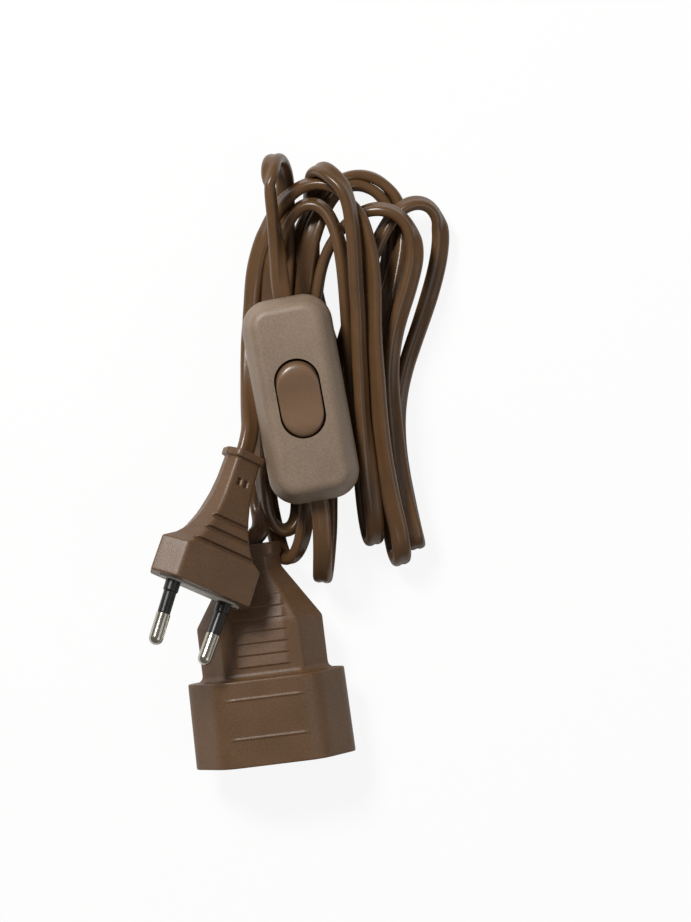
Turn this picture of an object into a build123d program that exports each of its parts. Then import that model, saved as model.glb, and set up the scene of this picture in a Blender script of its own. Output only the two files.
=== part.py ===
"""Two-core extension lead: Europlug, in-line rocker switch and flat two-pole socket coupler.

The lead lies flat with its cord in a loose hank. Each moulded piece is modelled in its own
frame: x across, y along the piece toward its cord, z out of its upper face.
"""

from build123d import *
import os
from math import atan, cos, degrees, radians, sin, sqrt, tan

os.makedirs("parts", exist_ok=True)

# Flat two-core cord
cord_width = 5.4
cord_thickness = 3.2
core_radius = 1.05
core_pitch = 2.5
core_bend = 1.5
core_straight = 1.8
core_lead = 0.9
core_drop = 7.1
core_spread = 0.3
neutral_turn_in = 14.1
plug_straight_run = 5.0
switch_straight_run = 3.0
socket_straight_run = 4.0

# Switch shells
switch_length = 58.0
switch_width = 25.6
switch_corner = 8.0
base_depth = 8.5
cover_height = 9.5
straight_wall = 3.5
slope_inset = 3.2
shell_wall = 2.0
cover_top_radius = 3.0
cover_side_radius = 8.0
entry_clearance = 0.15
sheath_inside = 7.4

# Rocker and its window
rocker_width = 12.0
rocker_radius = 11.0
rocker_tilt = 7.0
rocker_proud = 0.2
rocker_underside = 2.0
rocker_valley_radius = 25.0
rocker_edge_radius = 0.5
pivot_height = 5.5
window_gap = 0.4
trunnion_radius = 1.3
trunnion_clearance = 0.06
cradle_thickness = 2.0
cradle_gap = 0.3
stem_radius = 3.0
stem_length = 3.0
plunger_radius = 1.7
plunger_clearance = 0.08
plunger_length = 4.2
spring_wire = 0.4
spring_turns = 4

# Contact seesaw and terminals
seesaw_reach = 4.5
seesaw_width = 5.0
seesaw_thickness = 0.8
seesaw_height = -3.05
seesaw_ratio = 0.8
strip_thickness = 0.8
contact_gap = 0.06
contact_reach = 5.9
contact_radius = 1.2
contact_height = 0.5
knife_land = 0.2
knife_base = 2.4
terminal_width = 5.0
terminal_length = 7.0
terminal_height = 7.0
terminal_across = 4.4
terminal_inset = 15.5
terminal_corner = 0.6
terminal_clearance = 0.1

# Screws
clamp_inset = 5.4
clamp_screw_grip = 4.0
clamp_length = 15.0
clamp_width = 3.0
clamp_depth = 2.0
clamp_screw_spread = 5.6
small_screw_radius = 1.0
small_head_radius = 1.7
small_head_height = 1.2
thread_clearance = 0.05
head_recess = 0.3
casing_screw_across = 7.6
casing_screw_beyond = 3.0
casing_screw_along = rocker_radius + casing_screw_beyond
casing_screw_cap = 2.0
casing_screw_radius = 1.2
casing_head_radius = 2.2
casing_head_height = 1.8
boss_wall = 1.6

# Europlug
plug_width = 35.3
plug_depth = 13.7
plug_flat = 26.1
plug_straight = 10.5
plug_length = 41.0
neck_width = 8.6
neck_depth = 6.4
flange_width = 9.6
flange_depth = 7.6
flange_thickness = 2.4
flange_corner = 2.0
groove_places = (12.2, 16.4, 20.2)
groove_width = 1.1
groove_depth = 1.0
neck_window_along = 32.0
neck_window_width = 1.3
neck_window_length = 1.8
window_spread = 1.2
window_depth = 1.2
pin_length = 19.0
pin_radius = 2.0
pin_seat = 9.0
pin_spacing = 18.6
pin_tip_spacing = 17.5
sleeve_length = 10.0
sleeve_radius = 1.8
pin_shank_radius = 1.5
bridge_width = 30.0
bridge_depth = 6.2
bridge_length = 10.5
bridge_proud = 0.5
seat_clearance = 0.05
ridge_radius = 1.0

# Socket coupler
hood_width = 46.9
hood_back_width = 46.0
hood_depth = 24.0
hood_flat = 26.0
hood_length = 24.6
hood_edge_radius = 1.0
hood_ridge_radius = 1.5
hood_overlap = 1.0
recess_lip_radius = 0.8
frame_front = 8.1
frame_back = 19.2
frame_width = 21.5
frame_line = 0.5
frame_line_height = 0.3
body_width = 36.5
body_depth = 16.0
body_flat = 22.0
body_end = 39.8
taper_end = 55.0
taper_width = 16.6
taper_depth = 11.0
taper_flat = 8.4
collar_width = 17.2
collar_depth = 12.0
collar_flat = 12.0
collar_length = 3.4
socket_length = 62.0
recess_clearance = 0.6
recess_depth = 14.0
rib_width = 15.0
rib_thickness = 1.5
rib_corner = 0.6
rib_height = 0.7
rib_pitch = 3.35
rib_first = 28.8
rib_count = 6
contact_spacing = 19.0
contact_entry_radius = 2.5
contact_bore_radius = 2.05
contact_wall = 0.7
contact_setback = 2.0
contact_length = 10.0
contact_slit = 0.6
contact_slit_length = 6.0
insert_length = 9.4
channel_length = 10.8

# Places of the pieces in the lead
switch_turn = 10.3
SWITCH = Plane(
    origin=(12.8, 37.8, 23.8),
    x_dir=(cos(radians(switch_turn)), sin(radians(switch_turn)), 0),
    z_dir=(0, 0, 1),
)
socket_turn = 7.0
SOCKET = Plane(
    origin=(5.7, -65.0, hood_depth / 2),
    x_dir=(cos(radians(socket_turn)), sin(radians(socket_turn)), 0),
    z_dir=(0, 0, 1),
)
plug_heading = radians(17.8)
plug_pitch = radians(11.5)
plug_roll = radians(36.0)
plug_axis = Vector(
    sin(plug_heading) * cos(plug_pitch), cos(plug_heading) * cos(plug_pitch), -sin(plug_pitch)
)
plug_level = plug_axis.cross(Vector(0, 0, 1)).normalized()
plug_upright = plug_level.cross(plug_axis)
PLUG = Plane(
    origin=(-15.1, -15.5, 32.9),
    x_dir=plug_level * cos(plug_roll) - plug_upright * sin(plug_roll),
    z_dir=plug_upright * cos(plug_roll) + plug_level * sin(plug_roll),
)


def on(frame, origin=(0, 0, 0), x_dir=(1, 0, 0), z_dir=(0, 0, 1)):
    """The plane whose place and directions are given in a piece's own frame."""
    start = frame.from_local_coords(Vector(*origin))
    across = frame.from_local_coords(Vector(*x_dir)) - frame.origin
    out = frame.from_local_coords(Vector(*z_dir)) - frame.origin
    return Plane(origin=start, x_dir=across, z_dir=out)


def section(frame, along):
    """The plane square to a piece's length, facing its front, x across and y upward."""
    return on(frame, (0, along, 0), z_dir=(0, -1, 0))


def side_view(frame, across=0):
    """The plane seen from a piece's right side, x along the piece and y upward."""
    return on(frame, (across, 0, 0), x_dir=(0, 1, 0), z_dir=(1, 0, 0))


def flat_hexagon(width, depth, flat, rounding):
    """Six-sided outline with a flat above and below and a rounded ridge down each side."""
    outline = Polygon(
        (-width / 2, 0),
        (-flat / 2, depth / 2),
        (flat / 2, depth / 2),
        (width / 2, 0),
        (flat / 2, -depth / 2),
        (-flat / 2, -depth / 2),
    )
    fillet(outline.vertices(), rounding)


def route(points, name):
    """A path of straight runs joined by arcs as large as the runs beside each corner allow."""
    places = [Vector(*point) for point in points]
    radii = []
    for before, corner, after in zip(places, places[1:], places[2:]):
        arriving = corner - before
        leaving = after - corner
        half_turn = radians(arriving.get_angle(leaving)) / 2
        radii.append(0.45 * min(arriving.length, leaving.length) / tan(half_turn))
    print(name, "radii", [round(radius, 1) for radius in radii])
    return places, radii


# Switch base: a tray with cord entries, saddles, clamp bosses and casing bosses
entry_width = cord_width + 2 * entry_clearance
entry_depth = cord_thickness + 2 * entry_clearance
floor_height = -base_depth + shell_wall
saddle_height = -cord_thickness / 2
clamp_seat = cord_thickness / 2
clamp_along = switch_length / 2 - clamp_inset
terminal_along = switch_length / 2 - terminal_inset
seesaw_length = 2 * (terminal_along - seesaw_reach)
contact_along = terminal_along - contact_reach
clamp_boss_radius = small_screw_radius + boss_wall / 2
casing_boss_radius = casing_head_radius + boss_wall
casing_seat = -base_depth + casing_head_height
clamp_screws = [
    (side * clamp_screw_spread, end * clamp_along) for end in (-1, 1) for side in (-1, 1)
]
casing_screws = [(casing_screw_across, end * casing_screw_along) for end in (-1, 1)]
clamp_places = [(0, end * clamp_along) for end in (-1, 1)]
entry_planes = [section(SWITCH, end * switch_length / 2) for end in (-1, 1)]

with BuildPart() as switch_base:
    with BuildSketch(on(SWITCH, (0, 0, -base_depth))):
        RectangleRounded(switch_width, switch_length, switch_corner)
    extrude(amount=base_depth)
    offset(amount=-shell_wall, openings=faces().sort_by(Axis.Z)[-1])
    fillet(faces().sort_by(Axis.Z)[0].outer_wire().edges(), shell_wall)
    with BuildSketch(on(SWITCH, (0, 0, floor_height))):
        with Locations(*clamp_places):
            Rectangle(cord_width, clamp_width)
    extrude(amount=saddle_height - floor_height)
    with BuildSketch(on(SWITCH, (0, 0, floor_height))):
        with Locations(*clamp_screws):
            Circle(clamp_boss_radius)
    extrude(amount=clamp_seat - floor_height)
    with BuildSketch(on(SWITCH, (0, 0, floor_height))):
        with Locations(*casing_screws):
            Circle(casing_boss_radius)
    extrude(amount=-floor_height)
    with BuildSketch(on(SWITCH, (0, 0, clamp_seat))):
        with Locations(*clamp_screws):
            Circle(small_screw_radius + thread_clearance)
    extrude(amount=floor_height - clamp_seat, mode=Mode.SUBTRACT)
    with BuildSketch(on(SWITCH)):
        with Locations(*casing_screws):
            Circle(casing_screw_radius + thread_clearance)
    extrude(amount=-base_depth, mode=Mode.SUBTRACT)
    with BuildSketch(on(SWITCH, (0, 0, -base_depth))):
        with Locations(*casing_screws):
            Circle(casing_head_radius + entry_clearance)
    extrude(amount=casing_head_height, mode=Mode.SUBTRACT)
    with BuildSketch(*entry_planes):
        SlotOverall(entry_width, entry_depth)
    extrude(amount=shell_wall, both=True, mode=Mode.SUBTRACT)
switch_base.part.label = "switch_base"
export_step(switch_base.part, "parts/switch_base.step")

# Switch cover: straight wall, sloping rim and flat top with the rocker's window
plate_height = cover_height - shell_wall
slope_height = cover_height - straight_wall
slope_angle = degrees(atan(slope_inset / slope_height))
window_half_length = sqrt(rocker_radius**2 - (plate_height - pivot_height) ** 2) + window_gap
window_width = rocker_width + 2 * window_gap
cradle_inside = rocker_width / 2 + window_gap + cradle_gap
cradle_outside = cradle_inside + cradle_thickness
cradle_bore = trunnion_radius + trunnion_clearance
cradle_half_length = cradle_bore + boss_wall
cradle_drop = cradle_bore + boss_wall / 2

with BuildPart() as switch_cover:
    with BuildSketch(on(SWITCH)):
        RectangleRounded(switch_width, switch_length, switch_corner)
    extrude(amount=straight_wall)
    extrude(faces().sort_by(Axis.Z)[-1], amount=slope_height, taper=slope_angle)
    fillet(edges().group_by(Axis.Z)[-1], cover_top_radius)
    rim = [edge for edge in edges() if abs(edge.center().Z - SWITCH.origin.Z - straight_wall) < 0.01]
    fillet(rim, cover_side_radius)
    offset(amount=-shell_wall, openings=faces().sort_by(Axis.Z)[0])
    with BuildSketch(on(SWITCH)):
        with Locations(*casing_screws):
            Circle(casing_screw_radius + boss_wall)
    extrude(amount=plate_height)
    with BuildSketch(on(SWITCH)):
        with Locations(*casing_screws):
            Circle(casing_screw_radius + thread_clearance)
    extrude(amount=plate_height, mode=Mode.SUBTRACT)
    with BuildSketch(on(SWITCH, (0, 0, cover_height))):
        SlotOverall(2 * window_half_length, window_width, rotation=90)
    extrude(amount=-shell_wall, mode=Mode.SUBTRACT)
    for side in (-1, 1):
        with BuildSketch(side_view(SWITCH, side * cradle_inside)):
            with Locations((0, (plate_height + pivot_height - cradle_drop) / 2)):
                Rectangle(2 * cradle_half_length, plate_height - pivot_height + cradle_drop)
            with Locations((0, pivot_height)):
                Circle(cradle_bore, mode=Mode.SUBTRACT)
            with Locations((0, pivot_height - cradle_drop / 2)):
                Rectangle(1.6 * trunnion_radius, cradle_drop, mode=Mode.SUBTRACT)
        extrude(amount=side * cradle_thickness)
    with BuildSketch(*entry_planes):
        SlotOverall(entry_width, entry_depth)
    extrude(amount=shell_wall, both=True, mode=Mode.SUBTRACT)
switch_cover.part.label = "switch_cover"
export_step(switch_cover.part, "parts/switch_cover.step")

# Rocker: a disc rounded about its pivot, trimmed to a shallow valley, on two trunnions
ROCKER = on(
    SWITCH,
    (0, 0, pivot_height),
    z_dir=(0, -sin(radians(rocker_tilt)), cos(radians(rocker_tilt))),
)
valley_height = (cover_height - pivot_height + rocker_proud) / cos(radians(rocker_tilt))
crest_height = valley_height + rocker_radius * tan(radians(rocker_tilt))
valley_half = rocker_valley_radius * sin(radians(rocker_tilt))
valley_side = valley_height + valley_half * tan(radians(rocker_tilt))
valley_floor = valley_side - rocker_valley_radius * (1 - cos(radians(rocker_tilt)))
stem_end = -rocker_underside - stem_length
seesaw_tilt = seesaw_ratio * rocker_tilt
plunger_reach = pivot_height - seesaw_height - seesaw_thickness - contact_gap
plunger_top = -plunger_reach + plunger_length
spring_top = valley_height - rocker_underside

with BuildPart() as rocker:
    with BuildSketch(ROCKER):
        with BuildLine():
            Polyline(
                (-rocker_width / 2, rocker_radius - rocker_width / 2),
                (-rocker_width / 2, 0),
                (rocker_width / 2, 0),
                (rocker_width / 2, rocker_radius - rocker_width / 2),
            )
            ThreePointArc(
                (rocker_width / 2, rocker_radius - rocker_width / 2),
                (0, rocker_radius),
                (-rocker_width / 2, rocker_radius - rocker_width / 2),
            )
        make_face()
    revolve(axis=Axis(ROCKER.origin, ROCKER.x_dir))
    with BuildSketch(side_view(ROCKER)):
        with BuildLine():
            Polyline(
                (-valley_half, valley_side),
                (-rocker_radius, crest_height),
                (-rocker_radius, -rocker_underside),
                (rocker_radius, -rocker_underside),
                (rocker_radius, crest_height),
                (valley_half, valley_side),
            )
            ThreePointArc(
                (valley_half, valley_side), (0, valley_floor), (-valley_half, valley_side)
            )
        make_face()
    extrude(amount=rocker_width, both=True, mode=Mode.INTERSECT)
    face_edges = [
        edge for edge in edges() if ROCKER.to_local_coords(edge.center()).Z > valley_floor - 0.01
    ]
    fillet(face_edges, rocker_edge_radius)
    with BuildSketch(side_view(ROCKER)):
        Circle(trunnion_radius)
    extrude(amount=cradle_outside, both=True)
    with BuildSketch(on(ROCKER, (0, 0, -rocker_underside))):
        Circle(stem_radius)
    extrude(amount=-stem_length)
    with BuildSketch(on(ROCKER, (0, 0, stem_end))):
        Circle(plunger_radius + plunger_clearance)
    extrude(amount=spring_top - stem_end, mode=Mode.SUBTRACT)
rocker.part.label = "rocker"
export_step(rocker.part, "parts/rocker.step")

# Plunger: a pin with a domed tip that rocks the contact seesaw
with BuildPart() as plunger:
    with BuildSketch(side_view(ROCKER)):
        with BuildLine():
            Polyline(
                (0, -plunger_reach),
                (0, plunger_top),
                (plunger_radius, plunger_top),
                (plunger_radius, plunger_radius - plunger_reach),
            )
            RadiusArc(
                (plunger_radius, plunger_radius - plunger_reach), (0, -plunger_reach), plunger_radius
            )
        make_face()
    revolve(axis=Axis(ROCKER.origin, ROCKER.z_dir))
plunger.part.label = "rocker_plunger"
export_step(plunger.part, "parts/rocker_plunger.step")

# Spring between the plunger and the blind end of the rocker's bore
spring_length = spring_top - plunger_top - spring_wire
spring_radius = plunger_radius - spring_wire / 2
with BuildPart() as spring:
    with BuildLine():
        coil = Helix(
            spring_length / spring_turns,
            spring_length,
            spring_radius,
            center=on(ROCKER, (0, 0, plunger_top + spring_wire / 2)).origin,
            direction=ROCKER.z_dir,
        )
    with BuildSketch(Plane(origin=coil @ 0, z_dir=coil % 0)):
        Circle(spring_wire / 2)
    sweep(path=coil)
spring.part.label = "rocker_spring"
export_step(spring.part, "parts/rocker_spring.step")

# Contact seesaw: a brass plate that rocks on a knife edge, with a rivet under one end
SEESAW = on(
    SWITCH,
    (0, 0, seesaw_height),
    z_dir=(0, sin(radians(seesaw_tilt)), cos(radians(seesaw_tilt))),
)
with BuildPart() as seesaw:
    with BuildSketch(SEESAW):
        RectangleRounded(seesaw_width, seesaw_length, 1)
    extrude(amount=seesaw_thickness)
    with BuildSketch(SEESAW):
        with Locations((0, -contact_along)):
            Circle(contact_radius)
    extrude(amount=-contact_height)
seesaw.part.label = "contact_seesaw"
export_step(seesaw.part, "parts/contact_seesaw.step")

# Live terminals: screw blocks on the base floor with a strip to the knife edge or the contact
strip_height = floor_height + strip_thickness
knife_height = seesaw_height - contact_gap
closing_drop = (contact_along + contact_radius) * sin(radians(seesaw_tilt))
fixed_contact_height = seesaw_height - contact_height - closing_drop - contact_gap
block_inner = terminal_along - terminal_length / 2
block_side = -terminal_across - terminal_width / 2
terminal_centre = floor_height + terminal_height / 2


def terminal_block(end):
    """A terminal block at one end, bored for its core along and for its screw from above."""
    with BuildPart() as block:
        with BuildSketch(on(SWITCH, (0, 0, floor_height))):
            with Locations((-terminal_across, end * terminal_along)):
                RectangleRounded(terminal_width, terminal_length, terminal_corner)
        extrude(amount=terminal_height)
        with BuildSketch(section(SWITCH, end * terminal_along)):
            with Locations((-terminal_across, terminal_centre)):
                Circle(core_radius + terminal_clearance)
        extrude(amount=terminal_length, both=True, mode=Mode.SUBTRACT)
        with BuildSketch(on(SWITCH, (0, 0, floor_height + terminal_height))):
            with Locations((-terminal_across, end * terminal_along)):
                Circle(small_screw_radius + thread_clearance)
        extrude(amount=-terminal_height / 2, mode=Mode.SUBTRACT)
    return block.part


with BuildPart() as live_in:
    add(terminal_block(1))
    with BuildSketch(on(SWITCH, (0, 0, floor_height))):
        with BuildLine():
            Polyline(
                (block_side, block_inner),
                (block_side, -knife_base),
                (seesaw_width / 2, -knife_base),
                (seesaw_width / 2, knife_base),
                (block_side + terminal_width, knife_base),
                (block_side + terminal_width, block_inner),
                close=True,
            )
        make_face()
    extrude(amount=strip_thickness)
    with BuildSketch(side_view(SWITCH)):
        with BuildLine():
            Polyline(
                (-knife_base / 2, strip_height),
                (knife_base / 2, strip_height),
                (knife_land / 2, knife_height),
                (-knife_land / 2, knife_height),
                close=True,
            )
        make_face()
    extrude(amount=seesaw_width / 2, both=True)
live_in.part.label = "live_terminal_in"
export_step(live_in.part, "parts/live_terminal_in.step")

with BuildPart() as live_out:
    add(terminal_block(-1))
    with BuildSketch(on(SWITCH, (0, 0, floor_height))):
        with BuildLine():
            Polyline(
                (block_side, -block_inner),
                (block_side, contact_radius - contact_along),
                (contact_radius, contact_radius - contact_along),
                (contact_radius, -contact_along - contact_radius),
                (block_side + terminal_width, -contact_along - contact_radius),
                (block_side + terminal_width, -block_inner),
                close=True,
            )
        make_face()
    extrude(amount=strip_thickness)
    with BuildSketch(on(SWITCH, (0, 0, strip_height))):
        with Locations((0, -contact_along)):
            Circle(contact_radius)
    extrude(amount=fixed_contact_height - strip_height)
live_out.part.label = "live_terminal_out"
export_step(live_out.part, "parts/live_terminal_out.step")


def slotted_screws(plane, places, length, radius, head_radius, head_height):
    """Cheese-head screws whose heads seat on a plane and whose shanks run below it."""
    with BuildPart() as screws:
        with BuildSketch(plane):
            with Locations(*places):
                Circle(head_radius)
        extrude(amount=head_height)
        with BuildSketch(plane):
            with Locations(*places):
                Circle(radius)
        extrude(amount=-length)
        with BuildSketch(plane.offset(head_height)):
            with Locations(*places):
                Rectangle(2 * head_radius, head_radius / 3)
        extrude(amount=-head_height / 2, mode=Mode.SUBTRACT)
    return screws.part


# Terminal screws press on the stripped cores
with BuildPart() as terminal_screws:
    add(
        slotted_screws(
            on(SWITCH, (0, 0, floor_height + terminal_height)),
            [(-terminal_across, terminal_along), (-terminal_across, -terminal_along)],
            terminal_height / 2 - core_radius,
            small_screw_radius,
            small_head_radius,
            small_head_height,
        )
    )
terminal_screws.part.label = "terminal_screws"
export_step(terminal_screws.part, "parts/terminal_screws.step")

# Cord clamps: a bridge over the sheath inside each entry
for end, clamp_name in [(1, "cord_clamp_in"), (-1, "cord_clamp_out")]:
    with BuildPart() as cord_clamp:
        with BuildSketch(on(SWITCH, (0, 0, clamp_seat))):
            with Locations((0, end * clamp_along)):
                RectangleRounded(clamp_length, clamp_width, 1)
            with Locations(*[place for place in clamp_screws if place[1] * end > 0]):
                Circle(small_screw_radius + thread_clearance, mode=Mode.SUBTRACT)
        extrude(amount=clamp_depth)
    cord_clamp.part.label = clamp_name
    export_step(cord_clamp.part, f"parts/{clamp_name}.step")

with BuildPart() as clamp_screw_set:
    add(
        slotted_screws(
            on(SWITCH, (0, 0, clamp_seat + clamp_depth)),
            clamp_screws,
            clamp_depth + clamp_screw_grip,
            small_screw_radius,
            small_head_radius,
            small_head_height,
        )
    )
clamp_screw_set.part.label = "clamp_screws"
export_step(clamp_screw_set.part, "parts/clamp_screws.step")

# Casing screws go up through the base into the cover's bosses
with BuildPart() as casing_screw_set:
    add(
        slotted_screws(
            on(SWITCH, (0, 0, casing_seat), x_dir=(-1, 0, 0), z_dir=(0, 0, -1)),
            [(-across, along) for across, along in casing_screws],
            -casing_seat + plate_height - casing_screw_cap,
            casing_screw_radius,
            casing_head_radius,
            casing_head_height - head_recess,
        )
    )
casing_screw_set.part.label = "casing_screws"
export_step(casing_screw_set.part, "parts/casing_screws.step")

# Cores inside the switch: the live core is cut at the terminals, the neutral core runs through
sheath_end = switch_length / 2 - sheath_inside
live_across = -core_pitch / 2
neutral_across = core_pitch / 2
neutral_pass = seesaw_width / 2 + core_radius + core_lead
neutral_turn = neutral_across + core_spread
core_low = terminal_centre
neutral_along = sheath_end - neutral_turn_in


def core(points, bend):
    """A round insulated core along a path given in the switch's frame."""
    places = [SWITCH.from_local_coords(Vector(*point)) for point in points]
    with BuildPart() as insulated:
        with BuildLine() as core_path:
            FilletPolyline(*places, radius=bend)
        with BuildSketch(Plane(origin=core_path.line @ 0, z_dir=core_path.line % 0)):
            Circle(core_radius)
        sweep(path=core_path.line)
    return insulated.part


for end, core_name in [(1, "live_core_in"), (-1, "live_core_out")]:
    live_route = [
        (live_across, end * sheath_end, 0),
        (live_across, end * (sheath_end - core_straight), 0),
        (-terminal_across, end * (terminal_along + terminal_length / 2 + core_lead), core_low),
        (-terminal_across, end * (terminal_along - core_bend), core_low),
    ]
    with BuildPart() as live_core:
        add(core(live_route, core_bend))
    live_core.part.label = core_name
    export_step(live_core.part, f"parts/{core_name}.step")

neutral_route = [
    (neutral_across, sheath_end, 0),
    (neutral_across, sheath_end - core_straight, 0),
    (neutral_turn, sheath_end - core_drop, core_low),
    (neutral_pass, neutral_along, core_low),
    (neutral_pass, -neutral_along, core_low),
    (neutral_turn, core_drop - sheath_end, core_low),
    (neutral_across, core_straight - sheath_end, 0),
    (neutral_across, -sheath_end, 0),
]
with BuildPart() as neutral_core:
    add(core(neutral_route, core_bend))
neutral_core.part.label = "neutral_core"
export_step(neutral_core.part, "parts/neutral_core.step")

# Plug body: hexagonal front, concave shoulders into a slim neck, and a flange at the cord
flange_start = plug_length - flange_thickness
flare_length = flange_start - plug_straight
shoulders = [(0.0, 1.0), (0.08, 0.74), (0.17, 0.49), (0.28, 0.3), (0.41, 0.17), (0.62, 0.05), (1.0, 0.0)]
bridge_flat = bridge_width - plug_width + plug_flat


def shoulder_depth(share):
    """Thickness of the plug at a share of the way from its shoulders to its flange."""
    return neck_depth + (1 - share) ** 1.5 * (plug_depth - neck_depth)


with BuildPart() as plug_body:
    for along in (0, plug_straight):
        with BuildSketch(section(PLUG, along)):
            flat_hexagon(plug_width, plug_depth, plug_flat, ridge_radius)
    loft(ruled=True)
    for share, fullness in shoulders:
        with BuildSketch(section(PLUG, plug_straight + share * flare_length)):
            flat_hexagon(
                neck_width + fullness * (plug_width - neck_width),
                shoulder_depth(share),
                neck_width / 2 + fullness * (plug_flat - neck_width / 2),
                ridge_radius,
            )
    loft()
    with BuildSketch(section(PLUG, flange_start)):
        RectangleRounded(flange_width, flange_depth, flange_corner)
    extrude(amount=-flange_thickness)
    for along in groove_places:
        share = max(0, along - plug_straight) / flare_length
        groove_floor = shoulder_depth(share) / 2 - groove_depth
        for face in (-1, 1):
            with BuildSketch(on(PLUG, (0, 0, face * groove_floor))):
                with Locations((0, along)):
                    Rectangle(plug_width, groove_width)
            extrude(amount=face * plug_depth, mode=Mode.SUBTRACT)
    with BuildSketch(on(PLUG, (0, 0, neck_depth / 2 - window_depth))):
        with Locations(*[(side * window_spread, neck_window_along) for side in (-1, 1)]):
            Rectangle(neck_window_width, neck_window_length)
    extrude(amount=plug_depth, mode=Mode.SUBTRACT)
    with BuildSketch(section(PLUG, 0)):
        flat_hexagon(
            bridge_width + 2 * seat_clearance,
            bridge_depth + 2 * seat_clearance,
            bridge_flat + 2 * seat_clearance,
            ridge_radius,
        )
    extrude(amount=-bridge_length - seat_clearance, mode=Mode.SUBTRACT)
plug_body.part.label = "plug_body"
export_step(plug_body.part, "parts/plug_body.step")

# Pins lean toward each other from the bridge to their tips
pin_lean = atan((pin_spacing - pin_tip_spacing) / 2 / pin_length)
pin_frames = {
    "left": on(PLUG, (-pin_spacing / 2, 0, 0), x_dir=(cos(pin_lean), sin(pin_lean), 0)),
    "right": on(PLUG, (pin_spacing / 2, 0, 0), x_dir=(cos(pin_lean), -sin(pin_lean), 0)),
}

with BuildPart() as plug_bridge:
    with BuildSketch(section(PLUG, -bridge_proud)):
        flat_hexagon(bridge_width, bridge_depth, bridge_flat, ridge_radius)
    extrude(amount=-bridge_length - bridge_proud)
    for frame in pin_frames.values():
        with BuildSketch(section(frame, pin_seat)):
            Circle(pin_radius)
        extrude(amount=pin_seat + bridge_proud + 1, mode=Mode.SUBTRACT)
plug_bridge.part.label = "plug_bridge"
export_step(plug_bridge.part, "parts/plug_bridge.step")

for side, frame in pin_frames.items():
    with BuildPart() as pin:
        with BuildSketch(frame):
            with BuildLine():
                Polyline(
                    (0, -pin_length),
                    (0, pin_seat),
                    (pin_radius, pin_seat),
                    (pin_radius, -bridge_proud),
                    (pin_shank_radius, -bridge_proud),
                    (pin_shank_radius, -sleeve_length),
                    (pin_radius, -sleeve_length),
                    (pin_radius, pin_radius - pin_length),
                )
                RadiusArc((pin_radius, pin_radius - pin_length), (0, -pin_length), pin_radius)
            make_face()
        revolve(axis=Axis(frame.origin, frame.y_dir))
    pin.part.label = f"plug_pin_{side}"
    export_step(pin.part, f"parts/plug_pin_{side}.step")

    with BuildPart() as sleeve:
        with BuildSketch(section(frame, -bridge_proud)):
            Circle(sleeve_radius)
            Circle(pin_shank_radius, mode=Mode.SUBTRACT)
        extrude(amount=sleeve_length - bridge_proud)
    sleeve.part.label = f"pin_sleeve_{side}"
    export_step(sleeve.part, f"parts/pin_sleeve_{side}.step")

# Socket body: hood round the recess, ribbed grip, taper and collar
rib_places = [rib_first + count * rib_pitch for count in range(rib_count)]
recess_width = plug_width + 2 * recess_clearance
recess_flat = plug_flat + recess_clearance
pocket_depth = recess_depth + insert_length
contact_start = recess_depth + contact_setback
contact_outer = contact_bore_radius + contact_wall
contact_places = [(-contact_spacing / 2, 0), (contact_spacing / 2, 0)]


def grip_depth(along):
    """Thickness of the grip and of the taper behind it, at a distance from the mouth."""
    share = min(1, max(0, along - body_end) / (taper_end - body_end))
    return body_depth - share * (body_depth - taper_depth)


with BuildPart() as socket_body:
    with BuildSketch(section(SOCKET, 0)):
        flat_hexagon(hood_width, hood_depth, hood_flat, hood_ridge_radius)
    with BuildSketch(section(SOCKET, hood_length)):
        flat_hexagon(hood_back_width, hood_depth, hood_flat, hood_ridge_radius)
    loft(ruled=True)
    hood_rims = faces().sort_by(Axis(SOCKET.origin, SOCKET.y_dir))
    fillet(hood_rims[0].edges() + hood_rims[-1].edges(), hood_edge_radius)
    with BuildSketch(section(SOCKET, hood_length - hood_overlap)):
        flat_hexagon(body_width, body_depth, body_flat, ridge_radius)
    extrude(amount=hood_length - hood_overlap - body_end)
    with BuildSketch(section(SOCKET, body_end)):
        flat_hexagon(body_width, body_depth, body_flat, ridge_radius)
    with BuildSketch(section(SOCKET, taper_end)):
        flat_hexagon(taper_width, taper_depth, taper_flat, ridge_radius)
    loft(ruled=True)
    with BuildSketch(section(SOCKET, taper_end)):
        flat_hexagon(taper_width, taper_depth, taper_flat, ridge_radius)
    extrude(amount=taper_end - socket_length)
    with BuildSketch(section(SOCKET, socket_length)):
        flat_hexagon(collar_width, collar_depth, collar_flat, ridge_radius)
    extrude(amount=collar_length)
    for along in rib_places:
        rib_top = grip_depth(along) / 2 + rib_height
        with BuildSketch(on(SOCKET, (0, 0, -rib_top))):
            with Locations((0, along)):
                RectangleRounded(rib_width, rib_thickness, rib_corner)
        extrude(amount=2 * rib_top)
    with BuildSketch(on(SOCKET, (0, 0, hood_depth / 2))):
        with Locations((0, frame_front), (0, frame_back)):
            Rectangle(frame_width, frame_line)
    extrude(amount=frame_line_height)
    with BuildSketch(section(SOCKET, 0)):
        flat_hexagon(recess_width, plug_depth + 2 * recess_clearance, recess_flat, ridge_radius)
    extrude(amount=-pocket_depth, mode=Mode.SUBTRACT)
    fillet(
        faces().sort_by(Axis(SOCKET.origin, SOCKET.y_dir))[0].inner_wires()[0].edges(),
        recess_lip_radius,
    )
    with BuildSketch(section(SOCKET, pocket_depth)):
        with Locations(*contact_places):
            Circle(contact_outer + seat_clearance)
    extrude(amount=-channel_length, mode=Mode.SUBTRACT)
socket_body.part.label = "socket_body"
export_step(socket_body.part, "parts/socket_body.step")

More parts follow.
